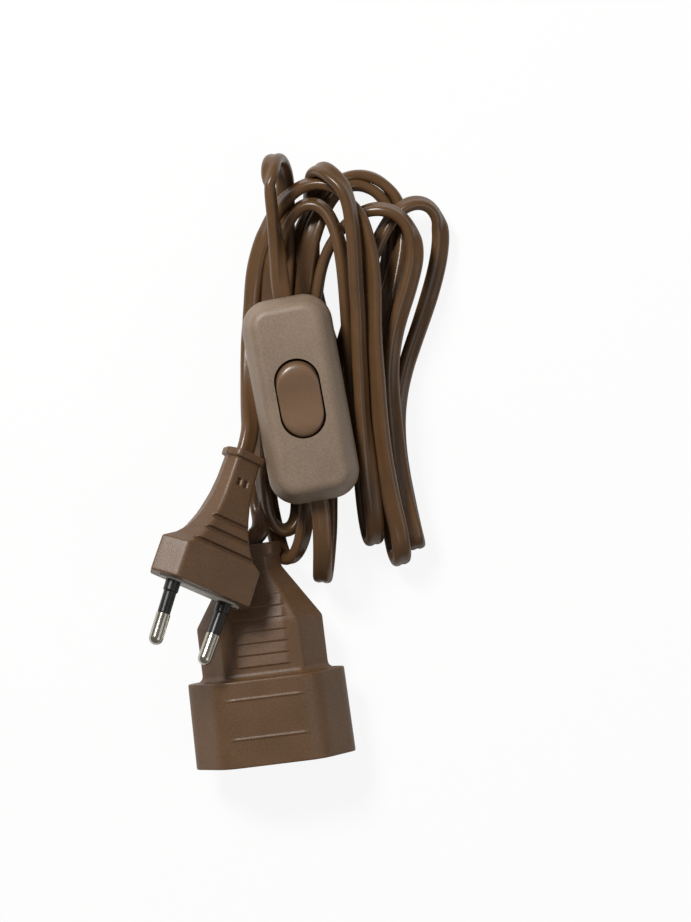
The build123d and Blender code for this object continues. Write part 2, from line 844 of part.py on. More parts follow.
# Contact carrier at the bottom of the recess, with two round entries
with BuildPart() as contact_carrier:
    with BuildSketch(section(SOCKET, recess_depth)):
        flat_hexagon(
            recess_width - 2 * seat_clearance,
            plug_depth + 2 * (recess_clearance - seat_clearance),
            recess_flat - 2 * seat_clearance,
            ridge_radius,
        )
    extrude(amount=seat_clearance - insert_length)
    with BuildSketch(section(SOCKET, recess_depth)):
        with Locations(*contact_places):
            Circle(contact_entry_radius)
    extrude(amount=-contact_setback, mode=Mode.SUBTRACT)
    with BuildSketch(section(SOCKET, contact_start)):
        with Locations(*contact_places):
            Circle(contact_outer)
    extrude(amount=-insert_length, mode=Mode.SUBTRACT)
contact_carrier.part.label = "contact_carrier"
export_step(contact_carrier.part, "parts/contact_carrier.step")

# Split brass sleeves that take the pins
for side, place in zip(("left", "right"), contact_places):
    with BuildPart() as contact:
        with BuildSketch(section(SOCKET, contact_start)):
            with Locations(place):
                Circle(contact_outer)
                Circle(contact_bore_radius, mode=Mode.SUBTRACT)
        extrude(amount=-contact_length)
        with BuildSketch(section(SOCKET, contact_start)):
            with Locations((place[0], contact_outer)):
                Rectangle(contact_slit, 2 * contact_wall)
        extrude(amount=-contact_slit_length, mode=Mode.SUBTRACT)
    contact.part.label = f"socket_contact_{side}"
    export_step(contact.part, f"parts/socket_contact_{side}.step")

# Cord outside the pieces: flat tubes along the free stretches, as chosen by hand
cord_routes = {
    "plug_lead": [
        tuple(PLUG.from_local_coords(Vector(0, plug_length, 0))),
        tuple(PLUG.from_local_coords(Vector(0, plug_length + plug_straight_run, 0))),
        (-2.3, 34.0, 19.6),
        (-2.8, 42.5, 14.2),
        (-2.2, 52.0, 10.6),
        (-1.2, 63.0, 8.6),
        (-0.5, 73.0, 7.2),
        (1.7, 82.5, 6.6),
        (5.2, 90.0, 6.4),
    ],
    "switch_lead_top": [
        tuple(SWITCH.from_local_coords(Vector(0, sheath_end, 0))),
        tuple(SWITCH.from_local_coords(Vector(0, switch_length / 2 + switch_straight_run, 0))),
        (7.3, 80.0, 24.2),
        (5.9, 89.5, 24.8),
        (4.3, 98.5, 24.4),
        (4.4, 106.8, 21.6),
        (5.4, 109.4, 14.8),
        (6.6, 106.0, 8.4),
        (7.6, 98.0, 6.2),
        (8.6, 91.5, 6.0),
    ],
    "switch_lead_bottom": [
        tuple(SWITCH.from_local_coords(Vector(0, -sheath_end, 0))),
        tuple(SWITCH.from_local_coords(Vector(0, -switch_length / 2 - switch_straight_run, 0))),
        (18.8, -4.0, 22.4),
        (18.9, -12.6, 19.2),
        (19.0, -16.0, 12.2),
        (19.1, -12.6, 5.6),
        (19.3, -4.0, 3.4),
        (19.6, 4.5, 3.6),
    ],
    "socket_lead": [
        tuple(SOCKET.from_local_coords(Vector(0, socket_length, 0))),
        tuple(SOCKET.from_local_coords(Vector(0, socket_length + socket_straight_run, 0))),
        (-0.8, 7.0, 11.2),
        (1.6, 12.5, 9.8),
    ],
}
cord_faces = {
    "plug_lead": (0, 0, 1),
    "switch_lead_top": (1, 0, 0),
    "switch_lead_bottom": (1, 0, 0),
    "socket_lead": (1, 0, 0),
}
for lead_name, points in cord_routes.items():
    places, radii = route(points, lead_name)
    with BuildPart() as lead:
        with BuildLine() as lead_path:
            FilletPolyline(*places, radius=radii)
        start_direction = lead_path.line % 0
        wide = Vector(*cord_faces[lead_name])
        wide -= start_direction * wide.dot(start_direction)
        with BuildSketch(Plane(origin=lead_path.line @ 0, x_dir=wide, z_dir=start_direction)):
            SlotOverall(cord_width, cord_thickness)
        sweep(path=lead_path.line)
    run_length = sum(edge.length for edge in lead_path.edges())
    print(lead_name, "length", round(run_length, 1), "volume", round(lead.part.volume, 1))
    lead.part.label = lead_name
    export_step(lead.part, f"parts/{lead_name}.step")

# Hank: the outer shape of the coiled cord, low under the switch and higher along its right
hank_floor = 1.0
hank_low = 15.0
hank_right = 21.0
hank_loops = 9.6
hank_corner = 2.5


def band(outline, bottom, top, corner):
    """One closed band of lying strands: a rounded outline raised between two heights."""
    with BuildPart() as strands:
        with BuildSketch(Plane.XY.offset(bottom)):
            outside = Polygon(*outline, align=None)
            fillet(outside.vertices(), corner)
        extrude(amount=top - bottom)
    return strands.part


left_band = [
    (7.2, 88.4),
    (3.9, 81.0),
    (1.8, 73.0),
    (0.9, 63.0),
    (0.0, 52.0),
    (0.4, 30.0),
    (2.4, 12.0),
    (5.4, 4.0),
    (9.0, -7.4),
    (12.6, -9.4),
    (16.0, -6.0),
    (16.4, 2.0),
    (21.5, 5.0),
    (21.5, 60.0),
    (20.6, 84.0),
    (14.0, 100.0),
    (6.6, 94.0),
]
right_band = [
    (24.2, 76.0),
    (24.8, 52.0),
    (28.0, 30.0),
    (31.0, 14.0),
    (30.2, 4.0),
    (28.4, -3.0),
    (36.0, -3.6),
    (39.0, -8.6),
    (44.8, -8.6),
    (43.4, 9.0),
    (39.4, 30.0),
    (36.8, 60.0),
    (34.6, 84.0),
    (27.6, 98.0),
    (22.0, 90.0),
]
loop_band = [
    (19.0, 60.0),
    (11.0, 88.0),
    (13.4, 100.0),
    (21.0, 105.0),
    (32.0, 103.4),
    (40.0, 96.8),
    (48.4, 95.6),
    (55.0, 88.0),
    (53.6, 76.0),
    (46.0, 52.0),
    (41.0, 30.0),
    (34.0, 30.0),
]
with BuildPart() as hank:
    add(band(left_band, hank_floor, hank_low, hank_corner))
    add(band(right_band, 0, hank_right, hank_corner))
    add(band(loop_band, 0, hank_loops, hank_corner))
hank.part.label = "cord_hank"
export_step(hank.part, "parts/cord_hank.step")
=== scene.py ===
"""Two-core extension lead with a flat plug, an in-line rocker switch and a flat socket coupler.

The cord lies in a loose hank. Lengths in the tables are millimetres; every object is in metres.
"""

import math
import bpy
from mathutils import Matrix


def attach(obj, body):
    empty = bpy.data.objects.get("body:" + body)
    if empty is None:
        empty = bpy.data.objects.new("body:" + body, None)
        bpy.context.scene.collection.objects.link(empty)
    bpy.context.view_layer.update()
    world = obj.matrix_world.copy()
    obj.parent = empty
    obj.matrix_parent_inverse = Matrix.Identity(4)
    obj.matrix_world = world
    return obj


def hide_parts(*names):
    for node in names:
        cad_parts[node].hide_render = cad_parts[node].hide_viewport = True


bl_info = {
    "name": "Extension Lead with Switch",
    "version": (1, 0, 0),
    "blender": (4, 5, 0),
    "location": "View3D > Sidebar > Extension Lead",
    "description": "A two-core lead with plug, in-line switch and socket coupler",
    "category": "Object",
}

import bpy
import numpy as np
from mathutils import Vector

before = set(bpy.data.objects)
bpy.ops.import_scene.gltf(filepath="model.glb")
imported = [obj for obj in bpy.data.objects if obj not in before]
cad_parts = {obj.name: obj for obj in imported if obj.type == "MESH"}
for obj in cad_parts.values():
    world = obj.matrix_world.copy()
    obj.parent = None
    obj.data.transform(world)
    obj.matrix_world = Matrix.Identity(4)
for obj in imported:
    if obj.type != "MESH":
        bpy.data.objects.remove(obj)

MM = 0.001

# Places and lengths of the pieces, as in the solids: millimetres and radians
SWITCH_ORIGIN, SWITCH_TURN = (12.8, 37.8, 23.8), math.radians(10.3)
SOCKET_ORIGIN, SOCKET_TURN = (5.7, -65.0, 12.0), math.radians(7.0)
PLUG_ORIGIN = (-15.1, -15.5, 32.9)
PLUG_HEADING, PLUG_PITCH, PLUG_ROLL = (math.radians(a) for a in (17.8, 11.5, 36.0))
SWITCH_ENTRY, SWITCH_HALF, PLUG_LENGTH, SOCKET_LENGTH = 21.6, 29.0, 41.0, 62.0


def turned_frame(origin, turn):
    """Origin and axes (across, along, up) of a piece that lies flat, turned about the vertical."""
    along = np.array([-math.sin(turn), math.cos(turn), 0.0])
    across = np.array([math.cos(turn), math.sin(turn), 0.0])
    return np.array(origin), np.array([across, along, [0.0, 0.0, 1.0]])


def plug_frame():
    """The plug's origin and axes: y from its face to its cord, then pitched down and rolled."""
    sh, ch = math.sin(PLUG_HEADING), math.cos(PLUG_HEADING)
    sp, cp = math.sin(PLUG_PITCH), math.cos(PLUG_PITCH)
    along = np.array([sh * cp, ch * cp, -sp])
    level = np.cross(along, [0, 0, 1])
    level /= np.linalg.norm(level)
    upright = np.cross(level, along)
    cr, sr = math.cos(PLUG_ROLL), math.sin(PLUG_ROLL)
    across, up = level * cr - upright * sr, upright * cr + level * sr
    return np.array(PLUG_ORIGIN), np.array([across, along, up])


SWITCH = turned_frame(SWITCH_ORIGIN, SWITCH_TURN)
SOCKET = turned_frame(SOCKET_ORIGIN, SOCKET_TURN)
PLUG = plug_frame()


def place(piece_frame, point):
    """A point of a piece's own frame, in the row frame, in millimetres."""
    origin, axes = piece_frame
    return origin + np.asarray(point, float) @ axes


# The two cords from end to end, in millimetres: points listed along the strands
PLUG_TO_SWITCH = [
    (-1.6, 34.0, 19.9), (-1.8, 42.5, 15.1), (-1.9, 52.2, 11.8), (-1.8, 57.6, 10.4),
    (-1.5, 63.4, 9.8), (-1.1, 69.4, 9.4), (-0.4, 75.8, 9.4), (1.1, 81.7, 9.8),
    (3.1, 86.9, 10.4), (5.4, 91.3, 11.4), (7.7, 94.5, 13.2), (10.5, 97.0, 14.6),
    (13.6, 98.8, 15.8), (17.1, 99.5, 16.9), (20.5, 99.0, 17.8), (23.6, 97.4, 18.5),
    (26.3, 93.8, 19.2), (29.1, 89.8, 19.5), (30.9, 84.4, 19.7), (32.5, 78.1, 19.7),
    (33.2, 70.2, 19.7), (33.2, 61.7, 19.7), (33.4, 53.0, 19.7), (34.2, 43.4, 19.5),
    (34.8, 34.3, 19.2), (35.8, 25.2, 18.5), (37.1, 16.7, 17.4), (38.6, 8.8, 16.0),
    (40.4, 1.9, 14.4), (41.3, -3.0, 13.0), (41.7, -6.8, 10.4), (41.3, -8.5, 6.6),
    (40.1, -6.1, 4.1), (39.2, -1.5, 3.2), (37.9, 5.1, 3.1), (36.0, 12.6, 3.0),
    (33.7, 20.1, 3.0), (30.5, 28.8, 3.0), (27.3, 37.5, 3.0), (23.8, 46.1, 3.0),
    (20.5, 54.8, 3.0), (17.8, 62.9, 3.0), (16.0, 70.4, 3.0), (15.3, 77.9, 3.0),
    (15.3, 84.3, 3.0), (15.7, 88.9, 3.0), (15.9, 93.3, 3.0), (15.9, 96.5, 5.0),
    (16.0, 99.3, 9.2), (16.2, 101.2, 12.8), (16.6, 102.7, 15.0), (17.8, 103.3, 18.5),
    (19.6, 102.6, 21.5), (22.1, 100.4, 23.6), (24.7, 97.5, 24.4), (26.4, 93.0, 24.4),
    (27.4, 86.5, 24.2), (28.0, 79.3, 23.8), (28.4, 70.8, 23.4), (29.0, 61.6, 23.0),
    (29.2, 52.3, 22.4), (29.8, 42.7, 21.8), (30.2, 33.7, 21.1), (31.2, 24.7, 20.1),
    (32.1, 16.7, 18.8), (33.0, 9.9, 17.1), (33.7, 3.9, 14.8), (34.0, -0.1, 12.2),
    (33.7, -2.5, 9.0), (32.9, -1.7, 6.2), (32.1, 1.7, 5.0), (31.3, 6.9, 4.8),
    (30.6, 13.8, 5.8), (30.0, 21.3, 7.8), (29.4, 28.7, 10.2), (28.7, 36.7, 12.8),
    (27.8, 44.6, 14.8), (27.0, 53.1, 16.4), (26.3, 61.9, 17.2), (25.6, 70.1, 17.8),
    (24.6, 78.0, 18.0), (23.3, 84.0, 17.6), (21.6, 88.6, 17.1), (19.5, 91.9, 16.5),
    (16.6, 93.6, 16.0), (13.6, 93.3, 15.3), (11.0, 91.4, 14.4), (8.7, 88.5, 13.4),
    (6.7, 84.4, 12.2), (5.3, 79.6, 11.0), (4.2, 74.3, 10.0), (3.4, 68.0, 9.4),
    (2.6, 60.3, 9.2), (2.1, 51.7, 9.4), (1.8, 42.5, 10.0), (1.5, 33.9, 11.0),
    (1.3, 25.3, 11.8), (1.4, 17.9, 11.8), (2.0, 11.3, 11.0), (2.9, 6.1, 10.0),
    (4.9, 2.1, 9.0), (7.8, 0.2, 8.2), (10.5, 1.5, 7.6), (11.8, 5.2, 7.2),
    (11.9, 10.9, 7.2), (11.3, 18.4, 7.2), (10.6, 27.0, 7.6), (9.7, 36.8, 8.8),
    (8.7, 47.1, 9.0), (7.9, 57.4, 8.8), (7.6, 67.2, 8.2), (8.1, 75.9, 8.0),
    (8.2, 83.3, 7.8), (8.2, 90.2, 7.6), (8.2, 96.5, 7.8), (8.1, 101.0, 9.4),
    (7.3, 104.4, 12.2), (6.1, 106.3, 16.2), (4.9, 105.8, 20.4), (4.3, 103.2, 23.8),
    (4.1, 99.4, 25.4), (4.4, 94.3, 25.4), (5.2, 87.6, 24.8), (6.3, 79.8, 24.2),
]
SWITCH_TO_SOCKET = [
    (18.9, 0.7, 22.4), (19.0, -4.7, 20.8), (18.9, -9.3, 18.0), (18.8, -12.8, 13.7),
    (19.1, -13.0, 8.6), (19.6, -9.5, 5.6), (20.0, -4.7, 4.6), (20.4, 0.8, 4.4),
    (20.5, 6.9, 4.4), (20.5, 13.8, 4.4), (20.5, 21.9, 4.8), (21.0, 30.5, 5.6),
    (22.0, 39.1, 6.6), (23.4, 47.7, 7.2), (25.6, 56.3, 7.6), (28.2, 64.9, 8.4),
    (30.9, 73.2, 9.2), (33.6, 80.6, 9.6), (36.3, 86.3, 10.0), (39.0, 90.6, 10.0),
    (42.2, 93.5, 10.0), (45.8, 94.7, 9.4), (49.3, 93.9, 8.2), (51.7, 91.0, 6.8),
    (52.9, 86.9, 5.8), (52.7, 81.3, 5.0), (51.5, 74.9, 4.6), (49.8, 68.6, 4.4),
    (47.6, 61.7, 4.2), (45.2, 54.8, 4.0), (42.9, 47.9, 3.8), (41.2, 40.4, 3.6),
    (40.4, 32.3, 3.4), (40.7, 23.6, 3.2), (41.8, 15.5, 3.2), (43.2, 8.3, 3.2),
    (44.6, 1.7, 3.4), (45.6, -2.4, 4.6), (45.8, -3.9, 7.2), (45.3, -2.2, 9.8),
    (44.3, 2.1, 10.6), (42.6, 8.4, 10.6), (41.2, 15.6, 10.6), (40.0, 23.6, 10.8),
    (39.2, 32.2, 11.2), (38.4, 40.7, 11.8), (38.4, 48.7, 12.6), (39.4, 56.1, 13.6),
    (41.1, 62.9, 14.3), (43.1, 69.1, 14.8), (44.6, 74.8, 15.1), (45.3, 79.6, 15.3),
    (44.6, 84.4, 15.3), (42.5, 88.6, 15.3), (39.2, 91.3, 15.3), (35.7, 92.3, 15.0),
    (31.8, 92.0, 14.1), (28.3, 90.4, 12.8), (25.0, 87.6, 11.8), (22.1, 83.9, 11.0),
    (20.0, 80.0, 10.4), (18.4, 75.1, 10.0), (17.4, 69.4, 9.8), (16.5, 62.0, 9.6),
    (15.7, 53.4, 9.4), (15.1, 43.6, 9.4), (15.0, 33.9, 9.6), (15.0, 24.7, 10.0),
    (14.8, 16.7, 11.0), (14.6, 9.3, 12.6), (14.0, 3.0, 13.6), (12.9, -3.0, 13.2),
    (10.7, -7.3, 11.6), (8.2, -7.9, 9.6), (6.6, -5.1, 7.4), (5.1, 0.5, 4.8),
    (3.6, 6.9, 3.4), (2.8, 13.2, 3.2), (2.6, 20.7, 3.1), (3.2, 29.4, 3.1),
    (4.0, 38.6, 3.1), (5.2, 48.5, 3.1), (6.6, 58.9, 3.1), (8.4, 68.7, 3.6),
    (10.2, 77.2, 5.2), (11.9, 84.0, 6.2), (14.4, 90.0, 6.8), (17.5, 95.8, 6.8),
    (21.5, 100.2, 5.6), (25.6, 102.4, 4.4), (29.3, 103.1, 4.2), (33.2, 102.4, 4.2),
    (36.8, 100.2, 4.2), (39.6, 96.9, 4.2), (41.2, 92.3, 4.4), (41.3, 86.7, 5.4),
    (40.8, 81.1, 6.8), (39.6, 75.0, 8.4), (38.0, 68.3, 9.6), (36.5, 61.4, 10.2),
    (35.3, 54.5, 10.4), (34.6, 48.8, 10.0), (34.6, 44.2, 9.0), (34.9, 41.4, 6.8),
    (35.5, 43.2, 4.4), (35.8, 47.9, 3.8), (35.8, 54.8, 3.8), (35.8, 61.1, 3.8),
    (36.1, 66.9, 3.9), (37.0, 73.2, 4.0), (37.7, 79.0, 4.2), (38.4, 84.8, 4.2),
    (38.3, 90.8, 4.2), (36.8, 95.3, 4.2), (33.7, 98.5, 4.2), (29.6, 100.1, 4.2),
    (25.9, 99.7, 4.8), (21.7, 96.6, 7.2), (18.6, 92.0, 10.0), (16.1, 86.0, 10.8),
    (14.5, 79.1, 10.2), (13.7, 71.2, 8.8), (12.8, 62.1, 7.2), (11.2, 52.4, 5.6),
    (8.6, 42.6, 4.6), (5.4, 34.0, 6.0), (2.9, 25.9, 6.8), (0.8, 18.4, 6.2),
    (0.1, 12.1, 6.2), (0.7, 6.9, 7.2), (1.5, 3.0, 10.2), (0.9, 0.1, 11.8),
    (-1.1, -1.7, 12.0),
]

# Where a strand's broad face looks in the photograph: a point on the strand, and that direction
PLUG_TO_SWITCH_FACES = [
    ((-0.4, 75.8, 8.2), (-0.5, 0.3, 0.85)),
    ((1.5, 83.0, 9.0), (-0.5, 0.3, 0.8)),
    ((4.4, 89.7, 10.0), (-0.5, 0.5, 0.6)),
    ((4.2, 74.3, 10.0), (-0.25, 0.1, 1.0)),
    ((3.4, 68.0, 9.4), (-0.25, 0.1, 1.0)),
    ((33.2, 61.7, 20.0), (-0.6, 0.1, 0.75)),
    ((34.2, 43.3, 20.0), (-0.6, 0.1, 0.75)),
    ((35.8, 25.2, 19.0), (-0.6, 0.1, 0.75)),
    ((28.7, 52.3, 22.4), (0.8, 0.1, 0.5)),
    ((30.2, 33.7, 21.5), (0.8, 0.1, 0.5)),
    ((8.1, 75.9, 8.0), (-0.2, 0.1, 1.0)),
    ((8.2, 83.3, 7.8), (-0.2, 0.1, 1.0)),
    ((15.3, 84.3, 3.0), (0.2, 0.1, 1.0)),
    ((5.1, 105.0, 20.2), (-0.2, 1.0, 0.5)),
    ((-1.6, 63.4, 9.8), (-0.6, 0.1, 0.7)),
    ((30.9, 84.3, 20.0), (-0.6, 0.2, 0.75)),
    ((32.5, 76.7, 20.0), (-0.6, 0.1, 0.75)),
    ((4.4, 93.7, 25.4), (1.0, 0.1, 0.15)),
]
SWITCH_TO_SOCKET_FACES = [
    ((52.8, 84.1, 5.2), (0.55, 0.1, 0.8)),
    ((50.7, 71.5, 4.5), (0.5, 0.1, 0.8)),
    ((45.2, 54.8, 4.0), (0.6, 0.1, 0.6)),
    ((45.3, 79.6, 15.2), (0.5, 0.1, 0.85)),
    ((43.1, 69.1, 15.0), (0.5, 0.1, 0.7)),
    ((15.3, 82.6, 10.4), (-0.3, 0.1, 0.95)),
    ((13.7, 71.2, 8.8), (-0.3, 0.1, 0.95)),
    ((1.5, 3.0, 11.0), (-0.3, 0.3, 0.9)),
]

# Cord: its line, then what its twist follows and how much each wish weighs, then its section
CURVE_ORDER, CURVE_STEPS, STATION_STEP, AROUND = 3, 12, 0.8, 32
BEND_ROLL = math.tan(math.radians(20))
LIGHT_SIDE = np.array([-0.6, 0.8, 0.0])
BEND_WEIGHT, FACE_WEIGHT, END_WEIGHT, TWIST_STIFFNESS = 400.0, 60.0, 300.0, 60.0
BEND_STATIONS, FACE_STATIONS, END_STATIONS, TWIST_PASSES = 5, 5, 8, 6
GROOVE_HALF_WIDTH, FLANK_STEEPNESS, FACE_FLATNESS = 0.42, 3.2, 0.82
# How far a cord runs into a moulding, and straight out of the plug and the switch
CORD_ROOT, PLUG_RUN, SWITCH_RUN = 2.0, 5.0, 3.0

# Sections of the plug and the socket coupler: along, width, thickness, flat, corner radius.
# The radius of the two side ridges is a share of it.
RIDGE_SHARE = 0.4
PLUG_SECTIONS = [
    (0.0, 3.0, 1.2, 2.2, 0.3),
    (0.0, 35.3, 13.7, 26.1, 1.4),
    (10.2, 35.0, 13.5, 25.8, 1.4),
    (10.9, 32.6, 13.2, 23.6, 1.4),
    (12.6, 26.9, 12.6, 19.2, 1.4),
    (15.2, 21.6, 11.8, 16.0, 1.4),
    (18.4, 17.4, 10.7, 13.4, 1.4),
    (22.0, 14.2, 9.6, 11.2, 1.3),
    (27.0, 11.6, 8.3, 9.3, 1.2),
    (32.0, 10.4, 7.3, 8.4, 1.1),
    (38.5, 10.2, 7.0, 8.0, 1.1),
    (38.6, 12.2, 9.0, 9.4, 1.2),
    (40.8, 12.2, 9.0, 9.4, 1.2),
    (40.8, 3.0, 1.2, 2.2, 0.3),
]
PLUG_GROOVES, GROOVE_HALF_LENGTH, GROOVE_DEPTH, RELIEF_EDGE = (12.2, 16.4, 20.2), 0.55, 1.05, 0.12
WINDOW_ALONG, WINDOW_ACROSS, WINDOW_HALF_LENGTH, WINDOW_HALF_WIDTH = 32.0, 1.2, 0.9, 0.6
WINDOW_DEPTH, WINDOW_EDGE = 1.1, 0.15
SOCKET_SECTIONS = [
    (62.0, 4.0, 2.0, 2.8, 0.5),
    (62.0, 17.2, 12.0, 12.0, 1.4),
    (58.7, 17.2, 12.0, 12.0, 1.4),
    (58.6, 16.6, 11.0, 8.4, 1.4),
    (55.0, 16.6, 11.0, 8.4, 1.4),
    (39.8, 36.5, 16.0, 22.0, 1.6),
    (26.0, 36.7, 16.0, 22.0, 2.2),
    (25.2, 37.6, 16.8, 22.6, 3.0),
    (24.6, 39.6, 18.2, 23.4, 4.0),
    (24.4, 47.2, 24.0, 26.6, 9.0),
    (0.0, 48.1, 24.0, 27.2, 9.0),
    (0.0, 37.6, 16.0, 27.4, 1.4),
    (0.8, 36.5, 14.9, 26.7, 1.2),
    (23.4, 36.5, 14.9, 26.7, 1.2),
    (23.4, 4.0, 2.0, 2.8, 0.5),
]
# Ribs of the grip; the edge of the row of ribs is a share of the pitch
RIB_FIRST, RIB_PITCH, RIB_COUNT, RIB_HEIGHT, RIB_HALF_LENGTH = 27.7, 3.35, 6, 0.5, 7.4
RIB_ROW_EDGE, RIB_END_EDGE = 0.03, 0.25
# Raised lines on the hood, which is where the coupler is deeper than the grip
FRAME_LINES, FRAME_HALF_LENGTH, FRAME_HALF_WIDTH = (8.1, 19.2), 10.7, 0.25
FRAME_LIFT, FRAME_END_EDGE, HOOD_HALF_DEPTH = 0.3, 0.2, 11.5

# Softening of a table, and points round a six-sided ring: on an arc, a broad face and a slope
BODY_STEP, BODY_SOFTNESS, TURNED_STEP, TURNED_SOFTNESS, BELL_REACH = 0.22, 0.55, 0.1, 0.12, 2.5
CORNER_POINTS, BROAD_POINTS, SLOPE_POINTS, TURNED_POINTS = 6, 40, 6, 40

# Pins lean toward each other; their sleeves are turned: distance along the pin and radius
PIN_SPACING, PIN_TIP_SPACING, PIN_LENGTH = 18.6, 17.5, 19.0
SLEEVE_PROFILE = [
    (0.3, 0.3), (0.3, 2.12), (-3.4, 2.12), (-3.7, 1.8), (-9.8, 1.8), (-10.0, 1.7), (-10.0, 0.3),
]

# Rocker, from its pivot; the rounding's sizes hold at the long sides, and the ends add the second
PIVOT_HEIGHT, ROCKER_TILT, ROCKER_HOLLOW = 5.5, math.radians(7), 25.0
ROCKER_HALF, ROCKER_RADIUS, ROCKER_UNDERSIDE = 6.0, 11.0, -2.0
ROCKER_FACE = 4.2 / math.cos(ROCKER_TILT)
ROCKER_JOIN = ROCKER_HOLLOW * math.sin(ROCKER_TILT)
ROUNDING_REACH, ROUNDING_DROP = (0.6, 3.6), (0.6, 1.1)
SPINE_HALF, CAP_SHARE = 0.5, 0.93
ARC_POINTS, SIDE_POINTS, FLANK_RINGS, ROUNDING_RINGS, CAP_RINGS = 44, 16, 9, 9, 14
TRUNNION_PROFILE = [(-8.6, 0.2), (-8.6, 1.3), (8.6, 1.3), (8.6, 0.2)]

# Plastics and metals: width of the slow drift, shares of grain and drift in the tone, the tone's
# ends, and how far the drift moves the roughness
PLASTIC_IOR, DRIFT_MM, GRAIN_SHARE, DRIFT_SHARE = 1.5, 14, 0.8, 0.35
GRAIN_TONES, GLOSS_SPREAD = (0.4, 0.78), 0.09
MOULDED_PVC = {"lift": 1.28, "grain_mm": 0.5, "depth_mm": 0.06, "roughness": 0.42}
DULL_METAL = {"lift": 1.08, "depth_mm": 0.004, "metallic": 1.0}
CORE_PVC = {"lift": 1.08, "grain_mm": 0.4, "depth_mm": 0.004, "roughness": 0.3}
# Sheath: length of a die line and lines round the cord, width of the clouds, their tones, gloss
LINE_MM, LINES_ROUND, CLOUD_MM = 30, 26.0, 9
CLOUD_TONES, CLOUD_LIFTS, SHEATH_GLOSS = (0.3, 0.75), (0.88, 1.16), (0.2, 0.32)
SHEATH_SPECULAR, LINE_STRENGTH, LINE_DEPTH_MM = 0.4, 0.5, 0.05

# Stage: camera, floor in millimetres and its share of own light, lamps as place and size
CAMERA_PLACE = (25.43, 20.43, 800.0)
FOCAL_PIXELS, FRAME_HEIGHT, SENSOR_MM, CLIP = 2758.0, 922, 36.0, (0.05, 20.0)
FLOOR_HALF, FLOOR_DROP, FLOOR_SEEN = 3000.0, -0.05, 0.9
KEY_LAMP, FILL_LAMP = ((-380, 560, 760), 260), ((620, -260, 760), 600)
LAMP_AIM, KEY_TO_FILL = (15, 20, 0), 7
STEPS = ("plug", "socket", "switch", "cords", "stage")


def colour(hex_value):
    """sRGB hex such as #6a4f3a to linear red, green, blue and alpha."""
    channels = np.array([int(hex_value[i : i + 2], 16) for i in (1, 3, 5)]) / 255
    linear = np.where(channels <= 0.04045, channels / 12.92, ((channels + 0.055) / 1.055) ** 2.4)
    return (*linear.tolist(), 1.0)


def link_inputs(tree, node, **links):
    """Links output sockets to a node's inputs, named with underscores for their spaces."""
    for name, source in links.items():
        tree.links.new(source, node.inputs[name.replace("_", " ")])


def add_node(tree, kind, settings=None, **links):
    """One node with its settings; a link's value is another node's output socket."""
    node = tree.nodes.new(kind)
    for name, value in (settings or {}).items():
        if name in node.inputs.keys():
            node.inputs[name].default_value = value
        else:
            setattr(node, name, value)
    link_inputs(tree, node, **links)
    return node


# Shapes -------------------------------------------------------------------------------------


def mesh_object(name, points, faces):
    """A smooth mesh object at the origin from points in millimetres and faces."""
    mesh = bpy.data.meshes.new(name)
    mesh.from_pydata(np.asarray(points, float) * MM, [], [list(map(int, f)) for f in faces])
    mesh.update()
    mesh.polygons.foreach_set("use_smooth", np.full(len(mesh.polygons), True))
    piece = bpy.data.objects.new(name, mesh)
    bpy.context.scene.collection.objects.link(piece)
    return piece


def smooth_line(points):
    """The line of a quadratic NURBS spline led by the given control points, in millimetres."""
    curve = bpy.data.curves.new("line", "CURVE")
    curve.dimensions = "3D"
    curve.resolution_u = CURVE_STEPS
    spline = curve.splines.new("NURBS")
    spline.points.add(len(points) - 1)
    flat = np.hstack([np.asarray(points, float) * MM, np.ones((len(points), 1))])
    spline.points.foreach_set("co", flat.ravel())
    spline.order_u = CURVE_ORDER
    spline.use_endpoint_u = True
    holder = bpy.data.objects.new("line", curve)
    bpy.context.scene.collection.objects.link(holder)
    bpy.context.view_layer.update()
    evaluated = holder.evaluated_get(bpy.context.evaluated_depsgraph_get())
    mesh = bpy.data.meshes.new_from_object(evaluated)
    line = np.zeros(len(mesh.vertices) * 3)
    mesh.vertices.foreach_get("co", line)
    bpy.data.objects.remove(holder)
    bpy.data.curves.remove(curve)
    bpy.data.meshes.remove(mesh)
    return line.reshape(-1, 3) / MM


def running_length(points):
    """Length run along the points, zero at the first of them."""
    return np.concatenate([[0], np.cumsum(np.linalg.norm(np.diff(points, axis=0), axis=1))])


def at_even_steps(rows, reach, step):
    """Rows found by straight interpolation at even steps of their running length."""
    stations = np.linspace(0, reach[-1], int(reach[-1] / step) + 1)
    return np.stack([np.interp(stations, reach, column) for column in rows.T], 1)


def unit(vectors):
    """Vectors divided by their lengths."""
    return vectors / np.maximum(np.linalg.norm(vectors, axis=-1, keepdims=True), 1e-12)


def carried_normals(tangent):
    """Unit normals carried along a line without twist, from any direction that isn't along it."""
    normal = np.zeros_like(tangent)
    start = np.cross(tangent[0], [0.3, 0.1, 1.0])
    normal[0] = start / np.linalg.norm(start)
    for i in range(1, len(tangent)):
        carried = normal[i - 1] - tangent[i] * (normal[i - 1] @ tangent[i])
        normal[i] = carried / np.linalg.norm(carried)
    return normal


